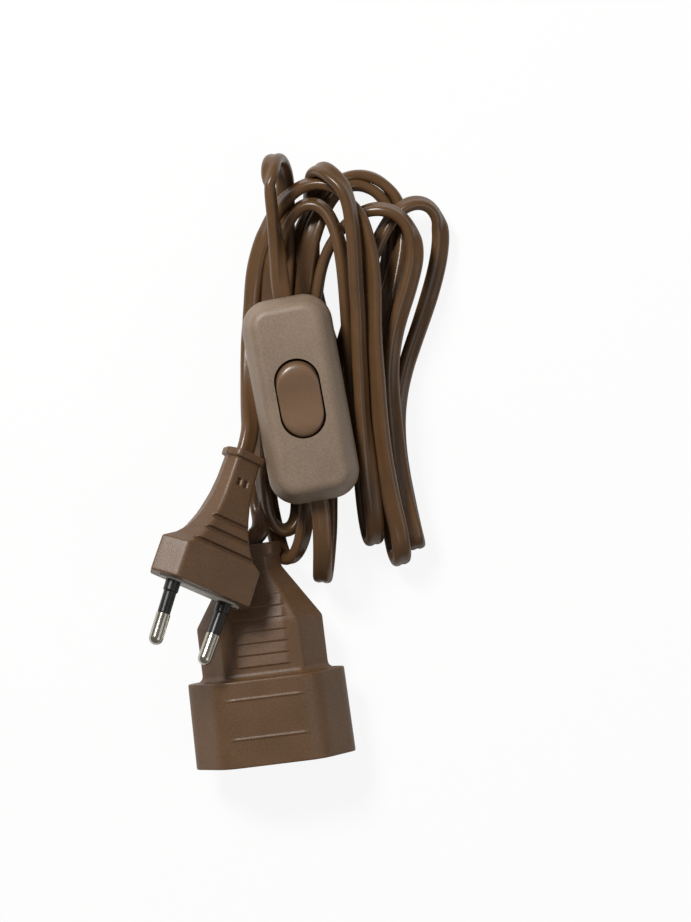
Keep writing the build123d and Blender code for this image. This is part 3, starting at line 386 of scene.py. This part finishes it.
def spread_twist(wish, weight):
    """Angles near their wishes with the twist between them spread out.

    At every station, stiffness * (2 a - both neighbours) + weight * (a - wish) = 0. A cord turned
    by half a turn is the same, so this is solved first for the doubled angle, and then with the
    nearest of the wishes that differ by half turns.
    """
    count = len(wish)
    stiff = TWIST_STIFFNESS / STATION_STEP**2
    matrix = np.diag(np.full(count, 2 * stiff)) - stiff * (np.eye(count, k=1) + np.eye(count, k=-1))
    matrix[0, 0] = matrix[-1, -1] = stiff
    matrix += np.diag(weight)
    doubled = np.linalg.solve(matrix, weight * np.exp(2j * wish))
    angle = np.unwrap(np.angle(doubled)) / 2
    for _ in range(TWIST_PASSES):
        nearest = wish + np.pi * np.round((angle - wish) / np.pi)
        angle = np.linalg.solve(matrix, weight * nearest)
    return angle


def flat_cord_axes(line, ends, faces):
    """Thin and wide directions of a flat cord along its line.

    The wanted thin direction is the curvature's, leaned up toward the light where the bend lies
    flat and weighed by the curvature squared. It is fixed at the given faces and at the two ends,
    and is measured as an angle from the carried normal.
    """
    tangent = unit(np.gradient(line, axis=0))
    normal = carried_normals(tangent)
    other = np.cross(tangent, normal)
    bend = np.gradient(tangent, axis=0)
    kernel = np.ones(BEND_STATIONS) / BEND_STATIONS
    bend = np.stack([np.convolve(column, kernel, "same") for column in bend.T], 1)
    lean = unit(bend)
    lean *= np.where(lean @ LIGHT_SIDE < 0, -1, 1)[:, None]
    lean[:, 2] += BEND_ROLL * np.hypot(lean[:, 0], lean[:, 1]) ** 3
    wish = np.arctan2((lean * other).sum(1), (lean * normal).sum(1))
    weight = BEND_WEIGHT * (bend**2).sum(1) / STATION_STEP**2
    for point, facing in faces:
        middle = int(np.argmin(np.linalg.norm(line - point, axis=1)))
        near = slice(max(0, middle - FACE_STATIONS), middle + FACE_STATIONS + 1)
        wish[near] = np.arctan2(other[near] @ facing, normal[near] @ facing)
        weight[near] = FACE_WEIGHT
    for station, wide in ends:
        thin = np.cross(tangent[station], wide)
        near = slice(0, END_STATIONS) if station == 0 else slice(-END_STATIONS, None)
        wish[near] = math.atan2(thin @ other[station], thin @ normal[station])
        weight[near] = END_WEIGHT
    angle = spread_twist(wish, weight)
    thin = normal * np.cos(angle)[:, None] + other * np.sin(angle)[:, None]
    return thin, np.cross(thin, tangent)


def twin_section(count, width, thickness, groove):
    """Outline of a flat two-core sheath: an obround, pinched along the middle of both faces.

    The pinch is one less groove / radius times exp(-(wide / groove half width)^2).
    """
    turn = np.linspace(0, 2 * np.pi, count, endpoint=False)
    radius = thickness / 2
    half_flat = width / 2 - radius
    spread = np.tanh(FLANK_STEEPNESS * np.cos(turn)) / math.tanh(FLANK_STEEPNESS)
    wide = np.cos(turn) * radius + half_flat * spread
    thin = np.sin(turn)
    thin = radius * np.sign(thin) * np.abs(thin) ** FACE_FLATNESS
    thin *= 1 - groove / radius * np.exp(-((wide / GROOVE_HALF_WIDTH) ** 2))
    return wide, thin


def ringed_body(name, rings):
    """A closed mesh through rings of equal counts, capped at both ends, its faces turned outward.

    Each quad joins point j and its neighbour on ring i to the same two on ring i + 1. The volume
    is a third of the sum of centre times area over the quads; where it comes out negative, all
    faces turn. The map "along" holds the running length of the rings' first points and the share
    round a ring.
    """
    count, around = rings.shape[:2]
    i, j = np.meshgrid(np.arange(count - 1), np.arange(around), indexing="ij")
    k = (j + 1) % around
    here, there = i * around, (i + 1) * around
    quads = np.stack([here + j, here + k, there + k, there + j], -1)
    corners = rings.reshape(-1, 3)[quads.reshape(-1, 4)]
    area = np.cross(corners[:, 2] - corners[:, 0], corners[:, 3] - corners[:, 1])
    outward = (corners.mean(axis=1) * area).sum() > 0
    reach = running_length(rings[:, 0])
    u = np.stack([reach[i], reach[i], reach[i + 1], reach[i + 1]], -1).reshape(-1, 4) * MM
    v = np.stack([j, j + 1, j + 1, j], -1).reshape(-1, 4) / around
    order = slice(None) if outward else slice(None, None, -1)
    caps = [np.arange(around)[::-1][order], np.arange((count - 1) * around, count * around)[order]]
    faces = quads.reshape(-1, 4)[:, order].tolist() + caps
    piece = mesh_object(name, rings.reshape(-1, 3), faces)
    spare = np.zeros(2 * around)
    layer = piece.data.uv_layers.new(name="along")
    pairs = [np.append(u[:, order].ravel(), spare), np.append(v[:, order].ravel(), spare)]
    layer.data.foreach_set("uv", np.stack(pairs, 1).ravel())
    return piece


def hexagon_rings(width, depth, flat, radius):
    """Six-sided rings, one for each section, with arcs at their corners.

    The corner of two sides with outward normals m and n has its arc's centre at
    corner - radius * (m + n) / (1 + m.n). The arc turns from m to n, and straight runs join the
    arcs. The two ridges at the sides are sharper by a fixed share.
    """
    w, d, f, zero = width / 2, depth / 2, flat / 2, np.zeros_like(width)
    x = np.stack([f, -f, -w, -f, f, w], 1)
    z = np.stack([d, d, zero, -d, -d, zero], 1)
    corners = np.stack([x, z], -1)
    sides = np.roll(corners, -1, axis=1) - corners
    after = unit(np.stack([sides[..., 1], -sides[..., 0]], -1))
    before = np.roll(after, 1, axis=1)
    facing = (before * after).sum(-1, keepdims=True)
    radii = (radius[:, None] * np.array([1, 1, RIDGE_SHARE, 1, 1, RIDGE_SHARE]))[..., None]
    centre = corners - radii * (before + after) / (1 + facing)
    steps = np.linspace(0, 1, CORNER_POINTS)[:, None]
    turn = np.arccos(np.clip(facing, -1, 1))[:, :, None, :] * steps
    first = before[:, :, None, :]
    second = np.stack([-before[..., 1], before[..., 0]], -1)[:, :, None, :]
    arcs = centre[:, :, None] + radii[:, :, None] * (first * np.cos(turn) + second * np.sin(turn))
    parts = []
    for side, splits in enumerate((BROAD_POINTS, SLOPE_POINTS, SLOPE_POINTS) * 2):
        share = (np.arange(splits) + 1)[:, None] / (splits + 1)
        start, end = arcs[:, side, -1], arcs[:, (side + 1) % 6, 0]
        parts += [arcs[:, side], start[:, None] * (1 - share) + end[:, None] * share]
    return np.concatenate(parts, axis=1)


def softened(table, step, radius):
    """The table's rows at even steps of running length, averaged over a bell as wide as the radius.

    The running length counts the distance along in full and the next two columns by half. A row at
    the distance t weighs exp(-(t / radius)^2).
    """
    rows = np.array(table, float)
    halves = np.array([1.0, 0.5, 0.5])[: rows.shape[1]]
    rows = at_even_steps(rows, running_length(rows[:, : len(halves)] * halves), step)
    span = int(BELL_REACH * radius / step)
    bell = np.exp(-((np.arange(-span, span + 1) * step / radius) ** 2))
    padded = np.pad(rows, ((span, span), (0, 0)), mode="edge")
    return np.stack([np.convolve(column, bell / bell.sum(), "valid") for column in padded.T], 1)


def band(value, half_width, edge):
    """One inside a band and zero outside it, with a slope as wide as the edge on both sides."""
    return 0.5 * (np.tanh((value + half_width) / edge) - np.tanh((value - half_width) / edge))


def plug_relief(x, along, z, half_depth):
    """Heights of the plug with its finger grooves cut level and its two small windows sunk."""
    cut = sum(band(along - groove, GROOVE_HALF_LENGTH, RELIEF_EDGE) for groove in PLUG_GROOVES)
    z = np.sign(z) * np.minimum(np.abs(z), half_depth - GROOVE_DEPTH * cut)
    middles = (WINDOW_ACROSS, -WINDOW_ACROSS)
    pair = sum(band(x - middle, WINDOW_HALF_WIDTH, WINDOW_EDGE) for middle in middles)
    window = band(along - WINDOW_ALONG, WINDOW_HALF_LENGTH, WINDOW_EDGE) * pair
    return z - np.where(z > 0, WINDOW_DEPTH * window, 0)


def socket_relief(x, along, z, half_depth):
    """Heights of the socket coupler with its stepped ribs and the two raised lines of its hood.

    A rib rises at once on the side of the mouth and falls away in a straight slope to the next.
    """
    count = (along - RIB_FIRST) / RIB_PITCH
    row = band(count - RIB_COUNT / 2, RIB_COUNT / 2, RIB_ROW_EDGE)
    slope = (1 - (count - np.floor(count))) * row
    ribs = RIB_HEIGHT * slope * band(x, RIB_HALF_LENGTH, RIB_END_EDGE)
    lines = sum(band(along - line, FRAME_HALF_WIDTH, RELIEF_EDGE) for line in FRAME_LINES)
    lines = lines * band(x, FRAME_HALF_LENGTH, FRAME_END_EDGE)
    on_hood = (half_depth > HOOD_HALF_DEPTH) & (z > 0)
    return z + np.sign(z) * ribs + np.where(on_hood, FRAME_LIFT * lines, 0)


def lofted(name, piece_frame, table, relief):
    """A moulded body: softened six-sided sections along the piece, with relief on its faces."""
    rows = softened(table, BODY_STEP, BODY_SOFTNESS)
    rings = hexagon_rings(*rows[:, 1:].T)
    x, z = rings[..., 0], rings[..., 1]
    along = np.broadcast_to(rows[:, :1], x.shape)
    z = relief(x, along, z, rows[:, 2:3] / 2)
    origin, axes = piece_frame
    return ringed_body(name, origin + np.stack([x, along, z], -1) @ axes)


def rocker_top(along):
    """Height of the rocker's face: two slopes of 7 degrees joined by a hollow of 25 mm radius."""
    rise = math.tan(ROCKER_TILT)
    middle = ROCKER_HOLLOW * math.cos(ROCKER_TILT) + ROCKER_FACE + rise * ROCKER_JOIN
    out = np.abs(along)
    arc = middle - np.sqrt(ROCKER_HOLLOW**2 - np.minimum(out, ROCKER_JOIN) ** 2)
    return np.where(out > ROCKER_JOIN, ROCKER_FACE + out * rise, arc)


def rocker_body(name, origin, axes):
    """The rocker: an oval disc about its pivot, its face hollowed and its two ends well rounded.

    Its flank lies on y = sqrt(rho(x)^2 - z^2), where rho is the oval's radius. The rounding is a
    quarter ellipse: its reach inward and its drop grow from the long sides to the ends with the
    square of the outline's normal along y. The cap closes on a short spine along the piece.
    """
    arc = np.linspace(0, np.pi, ARC_POINTS)
    run = np.linspace(1, -1, SIDE_POINTS + 2)[1:-1]
    long_side, end = np.ones(SIDE_POINTS), np.ones(ARC_POINTS)
    x = ROCKER_HALF * np.concatenate([np.cos(arc), -long_side, -np.cos(arc), long_side])
    rho = ROCKER_RADIUS - ROCKER_HALF + np.sqrt(np.maximum(ROCKER_HALF**2 - x**2, 0))
    side = np.concatenate([end, run, -end, -run])

    def flank(z):
        return side * np.sqrt(rho**2 - z**2)

    edge_line = np.stack([x, flank(np.full_like(x, ROCKER_FACE))], 1)
    forward = unit(np.roll(edge_line, -1, axis=0) - np.roll(edge_line, 1, axis=0))
    normal = np.stack([forward[:, 1], -forward[:, 0]], 1)
    reach, drop = (at + more * normal[:, 1] ** 2 for at, more in (ROUNDING_REACH, ROUNDING_DROP))
    edge = rocker_top(edge_line[:, 1]) - drop
    rings = []
    for share in np.linspace(0, 1, FLANK_RINGS):
        z = ROCKER_UNDERSIDE + share * (edge - ROCKER_UNDERSIDE)
        rings.append(np.stack([x, flank(z), z], 1))
    start = rings[-1][:, :2]
    for turn in np.linspace(0, np.pi / 2, ROUNDING_RINGS)[1:]:
        at = start - normal * (reach * (1 - math.cos(turn)))[:, None]
        rings.append(np.column_stack([at, rocker_top(at[:, 1]) - drop * (1 - math.sin(turn))]))
    start = rings[-1][:, :2]
    spine = np.column_stack([np.zeros_like(x), np.clip(start[:, 1], -SPINE_HALF, SPINE_HALF)])
    for share in np.linspace(0, CAP_SHARE, CAP_RINGS)[1:]:
        at = start + (spine - start) * share
        rings.append(np.column_stack([at, rocker_top(at[:, 1])]))
    return ringed_body(name, origin + np.array(rings) @ axes)


def turned(name, origin, axes, profile):
    """A body turned about the middle one of its axes: rings of the profile's radius along it."""
    rows = softened(profile, TURNED_STEP, TURNED_SOFTNESS)
    angle = np.linspace(0, 2 * np.pi, TURNED_POINTS, endpoint=False)
    x, z = rows[:, 1:] * np.cos(angle), rows[:, 1:] * np.sin(angle)
    along = np.broadcast_to(rows[:, :1], x.shape)
    return ringed_body(name, origin + np.stack([x, along, z], -1) @ axes)


def flat_cord(name, points, ends, faces, settings):
    """A flat cord along the given points; returns the piece and the line it follows in metres."""
    line = smooth_line(points)
    line = at_even_steps(line, running_length(line), STATION_STEP)
    thin, wide = flat_cord_axes(line, ends, faces)
    sizes = (settings.cord_width, settings.cord_thickness, settings.groove_depth)
    across, up = (s[None, :, None] for s in twin_section(AROUND, *(size / MM for size in sizes)))
    rings = line[:, None] + across * wide[:, None] + up * thin[:, None]
    return ringed_body(name, rings), line * MM


# Materials ----------------------------------------------------------------------------------


def new_material(name):
    """An empty node material with its shader and output linked."""
    material = bpy.data.materials.new(name)
    material.use_nodes = True
    tree = material.node_tree
    tree.nodes.clear()
    shader = add_node(tree, "ShaderNodeBsdfPrincipled")
    output = add_node(tree, "ShaderNodeOutputMaterial")
    tree.links.new(shader.outputs["BSDF"], output.inputs["Surface"])
    return material, tree, shader


def noise(tree, coords, scale, detail, roughness=0.5):
    """Value of a noise texture over the given coordinates."""
    settings = {"Scale": scale, "Detail": detail, "Roughness": roughness}
    return add_node(tree, "ShaderNodeTexNoise", settings, Vector=coords).outputs["Fac"]


def scaled(tree, value, factor, plus=None):
    """A node's value times a factor, plus another node's value where one is given."""
    operation = "MULTIPLY" if plus is None else "MULTIPLY_ADD"
    node = add_node(tree, "ShaderNodeMath", {"operation": operation})
    node.inputs[1].default_value = factor
    tree.links.new(value, node.inputs[0])
    if plus is not None:
        tree.links.new(plus, node.inputs[2])
    return node.outputs["Value"]


def two_tones(tree, base, tone, ends, lifts):
    """The base colour times one lift at the tone's first end, and times the other at its second."""
    ramp = add_node(tree, "ShaderNodeValToRGB", Fac=tone)
    for stop, position, lift in zip(ramp.color_ramp.elements, ends, lifts):
        stop.position = position
        stop.color = (*np.minimum(np.array(base[:3]) * lift, 1), 1)
    return ramp.outputs["Color"]


def ranged(tree, value, low, high):
    """A value that runs from 0 to 1, brought between low and high."""
    settings = {"To Min": low, "To Max": high}
    return add_node(tree, "ShaderNodeMapRange", settings, Value=value).outputs["Result"]


def bumped(tree, height, strength, depth_mm):
    """Normals of a surface whose height runs from zero to the depth."""
    settings = {"Strength": strength, "Distance": depth_mm * MM}
    return add_node(tree, "ShaderNodeBump", settings, Height=height).outputs["Normal"]


def grained(name, base, lift, grain_mm, depth_mm, roughness, metallic=0.0):
    """Moulded or plated surface: one grain drives colour, bump and, with a broad drift, gloss."""
    material, tree, shader = new_material(name)
    shader.inputs["Metallic"].default_value = metallic
    shader.inputs["IOR"].default_value = PLASTIC_IOR
    coords = add_node(tree, "ShaderNodeTexCoord").outputs["Object"]
    grain = noise(tree, coords, 1 / (grain_mm * MM), 3.0, 0.6)
    drift = noise(tree, coords, 1 / (DRIFT_MM * MM), 2.0)
    tone = scaled(tree, grain, GRAIN_SHARE, plus=scaled(tree, drift, DRIFT_SHARE))
    link_inputs(
        tree, shader,
        Base_Color=two_tones(tree, base, tone, GRAIN_TONES, (1 / lift, lift)),
        Roughness=ranged(tree, drift, roughness - GLOSS_SPREAD, roughness + GLOSS_SPREAD),
        Normal=bumped(tree, grain, 1.0, depth_mm),
    )
    return material


def drawn_sheath(name, base):
    """Soft PVC drawn through a die: satin, with faint lines along the cord and clouds of tone."""
    material, tree, shader = new_material(name)
    shader.inputs["IOR"].default_value = PLASTIC_IOR
    shader.inputs["Specular IOR Level"].default_value = SHEATH_SPECULAR
    coords = add_node(tree, "ShaderNodeTexCoord")
    stretch = add_node(
        tree, "ShaderNodeMapping", {"Scale": (1 / (LINE_MM * MM), LINES_ROUND, 1.0)},
        Vector=coords.outputs["UV"],
    )
    lines = noise(tree, stretch.outputs["Vector"], 1.0, 3.0)
    cloud = noise(tree, coords.outputs["Object"], 1 / (CLOUD_MM * MM), 2.0)
    link_inputs(
        tree, shader,
        Base_Color=two_tones(tree, base, cloud, CLOUD_TONES, CLOUD_LIFTS),
        Roughness=ranged(tree, lines, *SHEATH_GLOSS),
        Normal=bumped(tree, lines, LINE_STRENGTH, LINE_DEPTH_MM),
    )
    return material


def white_card():
    """Matt card that the camera sees as near white, with a faint share of the lamps' shadows."""
    material, tree, shader = new_material("white card")
    shader.inputs["Base Color"].default_value = colour("#f4f3f1")
    shader.inputs["Roughness"].default_value = 0.9
    shader.inputs["Specular IOR Level"].default_value = 0.0
    rays = add_node(tree, "ShaderNodeLightPath")
    glow = add_node(tree, "ShaderNodeEmission", {"Color": (1, 1, 1, 1), "Strength": 1.0})
    mix = add_node(tree, "ShaderNodeMixShader")
    tree.links.new(scaled(tree, rays.outputs["Is Camera Ray"], FLOOR_SEEN), mix.inputs[0])
    tree.links.new(shader.outputs["BSDF"], mix.inputs[1])
    tree.links.new(glow.outputs["Emission"], mix.inputs[2])
    output = next(n for n in tree.nodes if n.type == "OUTPUT_MATERIAL")
    tree.links.new(mix.outputs["Shader"], output.inputs["Surface"])
    return material


def dress(material, *nodes):
    """Gives CAD nodes a material through their objects' slots."""
    for name in nodes:
        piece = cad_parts[name]
        if not piece.material_slots:
            piece.data.materials.append(None)
        for slot in piece.material_slots:
            slot.link = "OBJECT"
            slot.material = material


# Properties and operators -------------------------------------------------------------------


def tint(name, description, hex_value):
    """A colour setting with its default given as sRGB hex."""
    return bpy.props.FloatVectorProperty(
        name=name, description=description, subtype="COLOR", size=4, min=0, max=1,
        default=colour(hex_value),
    )


def length(name, description, millimetres):
    """A length setting with its default given in millimetres."""
    return bpy.props.FloatProperty(
        name=name, description=description, default=millimetres * MM, min=0, subtype="DISTANCE",
        unit="LENGTH", precision=5,
    )


class LeadSettings(bpy.types.PropertyGroup):
    """Sizes of the cord and the grain, colours of the plastics, and the strength of the lamps."""

    cord_width: length("Cord width", "Across both cores of the flat cord", 5.4)
    cord_thickness: length("Cord thickness", "Through one core of the flat cord", 3.2)
    groove_depth: length("Groove depth", "Of the line between the two cores", 0.28)
    casing_grain: length("Casing grain", "Width of the spark-eroded grain on the switch", 0.42)
    sheath: tint("Sheath", "PVC of the flat cord", "#5b4129")
    moulding: tint("Moulding", "PVC of the plug and the socket coupler", "#60452d")
    casing: tint("Casing", "ABS of the switch", "#7f6c5a")
    rocker: tint("Rocker", "ABS of the rocker", "#725842")
    key_light: bpy.props.FloatProperty(
        name="Key light", description="Strength of the lamp at the upper left", default=10.0, min=0,
        subtype="POWER",
    )
    room_light: bpy.props.FloatProperty(
        name="Room light", description="Strength of the even light from all round", default=0.18,
        min=0,
    )


class LEAD_OT_plug(bpy.types.Operator):
    """Makes the plug's moulded body and the black sleeves of its two pins."""

    bl_idname = "lead.plug"
    bl_label = "Plug"

    def execute(self, context):
        settings = context.scene.lead_settings
        # Injection-moulded soft PVC: a faint matt grain that spreads the highlight along the ridges
        moulded = grained("injection-moulded PVC, plug", settings.moulding, **MOULDED_PVC)
        body = lofted("plug_moulding", PLUG, PLUG_SECTIONS, plug_relief)
        body.data.materials.append(moulded)
        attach(body, "lead")
        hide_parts("plug_body")
        # Polyamide sleeve, smooth: a dark body with a thin sharp glint down its length
        black = grained(
            "moulded black polyamide", colour("#141210"), lift=1.2, grain_mm=0.4, depth_mm=0.01,
            roughness=0.32,
        )
        lean = math.atan((PIN_SPACING - PIN_TIP_SPACING) / 2 / PIN_LENGTH)
        for side, name in ((-1, "left"), (1, "right")):
            origin, axes = PLUG
            across = axes[0] * math.cos(lean) - side * axes[1] * math.sin(lean)
            along = np.cross(axes[2], across)
            pin_axes = np.array([across, along, axes[2]])
            root = place(PLUG, (side * PIN_SPACING / 2, 0, 0))
            sleeve = turned(f"pin_collar_{name}", root, pin_axes, SLEEVE_PROFILE)
            sleeve.data.materials.append(black)
            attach(sleeve, "lead")
            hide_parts(f"pin_sleeve_{name}")
        # Nickel plate on brass pins: a clear bright strip between dark sides
        nickel = grained(
            "nickel-plated brass", colour("#bdb7aa"), lift=1.05, grain_mm=0.8, depth_mm=0.004,
            roughness=0.2, metallic=1.0,
        )
        dress(nickel, "plug_pin_left", "plug_pin_right")
        # Glass-filled insert seen as a thin pale line round the pins
        pale = grained(
            "glass-filled pin bridge", colour("#b3aca1"), lift=1.08, grain_mm=0.5, depth_mm=0.02,
            roughness=0.5,
        )
        dress(pale, "plug_bridge")
        return {"FINISHED"}


class LEAD_OT_socket(bpy.types.Operator):
    """Makes the socket coupler's moulded body with its recess, ribs and frame lines."""

    bl_idname = "lead.socket"
    bl_label = "Socket coupler"

    def execute(self, context):
        settings = context.scene.lead_settings
        # The same PVC in a larger mould: soft broad glints that follow the slow facets
        moulded = grained("injection-moulded PVC, coupler", settings.moulding, **MOULDED_PVC)
        body = lofted("socket_moulding", SOCKET, SOCKET_SECTIONS, socket_relief)
        body.data.materials.append(moulded)
        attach(body, "lead")
        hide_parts("socket_body")
        # Matt carrier in a darker brown than the shell: painted shade, so that the recess reads as
        # deep
        matt = grained(
            "carrier polyamide, darkened as painted recess shade", colour("#3c2b20"), lift=1.1, grain_mm=0.5, depth_mm=0.02,
            roughness=0.5,
        )
        dress(matt, "contact_carrier")
        return {"FINISHED"}


class LEAD_OT_switch(bpy.types.Operator):
    """Makes the rocker, and gives the carried shells, contacts, screws and cores materials."""

    bl_idname = "lead.switch"
    bl_label = "Switch"

    def execute(self, context):
        settings = context.scene.lead_settings
        # Spark-eroded ABS: a fine even sparkle and a soft matt fall-off at the sloping rim
        eroded = grained(
            "spark-eroded ABS casing", settings.casing, lift=1.25,
            grain_mm=settings.casing_grain / MM, depth_mm=0.06, roughness=0.44,
        )
        dress(eroded, "switch_cover", "switch_base")
        # Polished mould half: the rocker shines where the casing beside it is matt
        polished = grained(
            "polished ABS rocker", settings.rocker, lift=1.06, grain_mm=0.4, depth_mm=0.01,
            roughness=0.32,
        )
        dress(polished, "rocker_plunger")
        # At rest the rocker leans on one end by its tilt; its trunnions are turned about the x axis
        sine, cosine = math.sin(ROCKER_TILT), math.cos(ROCKER_TILT)
        tilt = np.array([[1, 0, 0], [0, cosine, sine], [0, -sine, cosine]])
        pivot, axes = place(SWITCH, (0, 0, PIVOT_HEIGHT)), tilt @ SWITCH[1]
        for piece in (
            rocker_body("rocker_paddle", pivot, axes),
            turned("rocker_trunnions", pivot, axes[[1, 0, 2]], TRUNNION_PROFILE),
        ):
            piece.data.materials.append(polished)
            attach(piece, "rocker")
            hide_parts("rocker")
        # Stamped brass: yellow and clear, duller than the plated pins
        brass = grained(
            "stamped brass", colour("#b8924c"), grain_mm=0.8, roughness=0.28, **DULL_METAL
        )
        dress(brass, "contact_seesaw", "live_terminal_in", "live_terminal_out",
              "socket_contact_left", "socket_contact_right")
        # Zinc on steel: a cool grey with a slightly broken glint
        zinc = grained(
            "zinc-plated steel", colour("#a9aaa8"), grain_mm=0.6, roughness=0.3, **DULL_METAL
        )
        dress(zinc, "terminal_screws", "clamp_screws", "casing_screws", "rocker_spring")
        # Inner ABS without the eroded finish: plain and satin
        clamp = grained(
            "moulded ABS clamp", settings.rocker, lift=1.06, grain_mm=0.4, depth_mm=0.008,
            roughness=0.4,
        )
        dress(clamp, "cord_clamp_in", "cord_clamp_out")
        # Drawn core PVC: smooth, with one bright line along each core
        brown = grained("drawn brown core PVC", colour("#4a2d18"), **CORE_PVC)
        dress(brown, "live_core_in", "live_core_out")
        dress(grained("drawn blue core PVC", colour("#1c4d8f"), **CORE_PVC), "neutral_core")
        return {"FINISHED"}


class LEAD_OT_cords(bpy.types.Operator):
    """Lays the two flat cords through the hank."""

    bl_idname = "lead.cords"
    bl_label = "Cords"

    def execute(self, context):
        settings = context.scene.lead_settings
        # Drawn PVC: narrow bright lines along each strand, slightly broken by the die marks
        sheath = drawn_sheath("drawn PVC sheath", settings.sheath)
        first = [place(PLUG, (0, PLUG_LENGTH + out, 0)) for out in (-CORD_ROOT, PLUG_RUN)]
        last = [place(SWITCH, (0, y, 0)) for y in (SWITCH_HALF + SWITCH_RUN, SWITCH_ENTRY)]
        piece, path = flat_cord(
            "cord_plug_to_switch", [*first, *PLUG_TO_SWITCH, *last],
            [(0, PLUG[1][0]), (-1, SWITCH[1][0])], PLUG_TO_SWITCH_FACES, settings,
        )
        piece.data.materials.append(sheath)
        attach(piece, "lead")
        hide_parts("plug_lead", "switch_lead_top", "cord_hank")
        first = [place(SWITCH, (0, -y, 0)) for y in (SWITCH_ENTRY, SWITCH_HALF + SWITCH_RUN)]
        last = [place(SOCKET, (0, SOCKET_LENGTH - CORD_ROOT, 0))]
        piece, path = flat_cord(
            "cord_switch_to_socket", [*first, *SWITCH_TO_SOCKET, *last],
            [(0, SWITCH[1][0]), (-1, SOCKET[1][0])], SWITCH_TO_SOCKET_FACES, settings,
        )
        piece.data.materials.append(sheath)
        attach(piece, "lead")
        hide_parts("switch_lead_bottom", "socket_lead", "cord_hank")
        return {"FINISHED"}


def softbox(name, place_mm, size_mm, watts):
    """A square area lamp at a place, aimed at the middle of the lead."""
    lamp = bpy.data.lights.new(name, "AREA")
    lamp.size = size_mm * MM
    lamp.energy = watts
    holder = bpy.data.objects.new(name, lamp)
    bpy.context.scene.collection.objects.link(holder)
    holder.location = np.array(place_mm) * MM
    aim = Vector(LAMP_AIM) - Vector(place_mm)
    holder.rotation_euler = aim.to_track_quat("-Z", "Y").to_euler()


class LEAD_OT_stage(bpy.types.Operator):
    """Sets the pale floor, the soft lamps, the world and the camera."""

    bl_idname = "lead.stage"
    bl_label = "Stage"

    def execute(self, context):
        scene = context.scene
        settings = scene.lead_settings
        square = ((-1, -1), (1, -1), (1, 1), (-1, 1))
        corners = [(FLOOR_HALF * x, FLOOR_HALF * y, FLOOR_DROP) for x, y in square]
        floor = mesh_object("floor", corners, [(0, 1, 2, 3)])
        floor.data.materials.append(white_card())

        world = bpy.data.worlds.new("soft room")
        scene.world = world
        world.use_nodes = True
        background = next(n for n in world.node_tree.nodes if n.type == "BACKGROUND")
        background.inputs["Color"].default_value = (1, 1, 1, 1)
        background.inputs["Strength"].default_value = settings.room_light
        softbox("key", *KEY_LAMP, settings.key_light)
        softbox("fill", *FILL_LAMP, settings.key_light / KEY_TO_FILL)

        lens = bpy.data.cameras.new("camera")
        lens.sensor_width = SENSOR_MM
        lens.lens = SENSOR_MM * FOCAL_PIXELS / FRAME_HEIGHT
        lens.clip_start, lens.clip_end = CLIP
        camera = bpy.data.objects.new("camera", lens)
        scene.collection.objects.link(camera)
        camera.location = np.array(CAMERA_PLACE) * MM
        scene.camera = camera
        scene.view_settings.view_transform = "Standard"
        return {"FINISHED"}


class LEAD_PT_panel(bpy.types.Panel):
    """Lists the settings and the steps that make the lead."""

    bl_idname = "LEAD_PT_panel"
    bl_label = "Extension Lead"
    bl_space_type = "VIEW_3D"
    bl_region_type = "UI"
    bl_category = "Extension Lead"

    def draw(self, context):
        for name in LeadSettings.__annotations__:
            self.layout.prop(context.scene.lead_settings, name)
        for step in STEPS:
            self.layout.operator(f"lead.{step}")


CLASSES = (
    LeadSettings, LEAD_OT_plug, LEAD_OT_socket, LEAD_OT_switch, LEAD_OT_cords, LEAD_OT_stage,
    LEAD_PT_panel,
)


def register():
    """Registers the classes and the scene's settings."""
    for cls in CLASSES:
        bpy.utils.register_class(cls)
    bpy.types.Scene.lead_settings = bpy.props.PointerProperty(type=LeadSettings)


def unregister():
    """Takes the classes and the settings away again."""
    del bpy.types.Scene.lead_settings
    for cls in reversed(CLASSES):
        bpy.utils.unregister_class(cls)


def main():
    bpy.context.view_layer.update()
    register()
    for step in STEPS:
        getattr(bpy.ops.lead, step)()


if __name__ == "__main__":
    main()
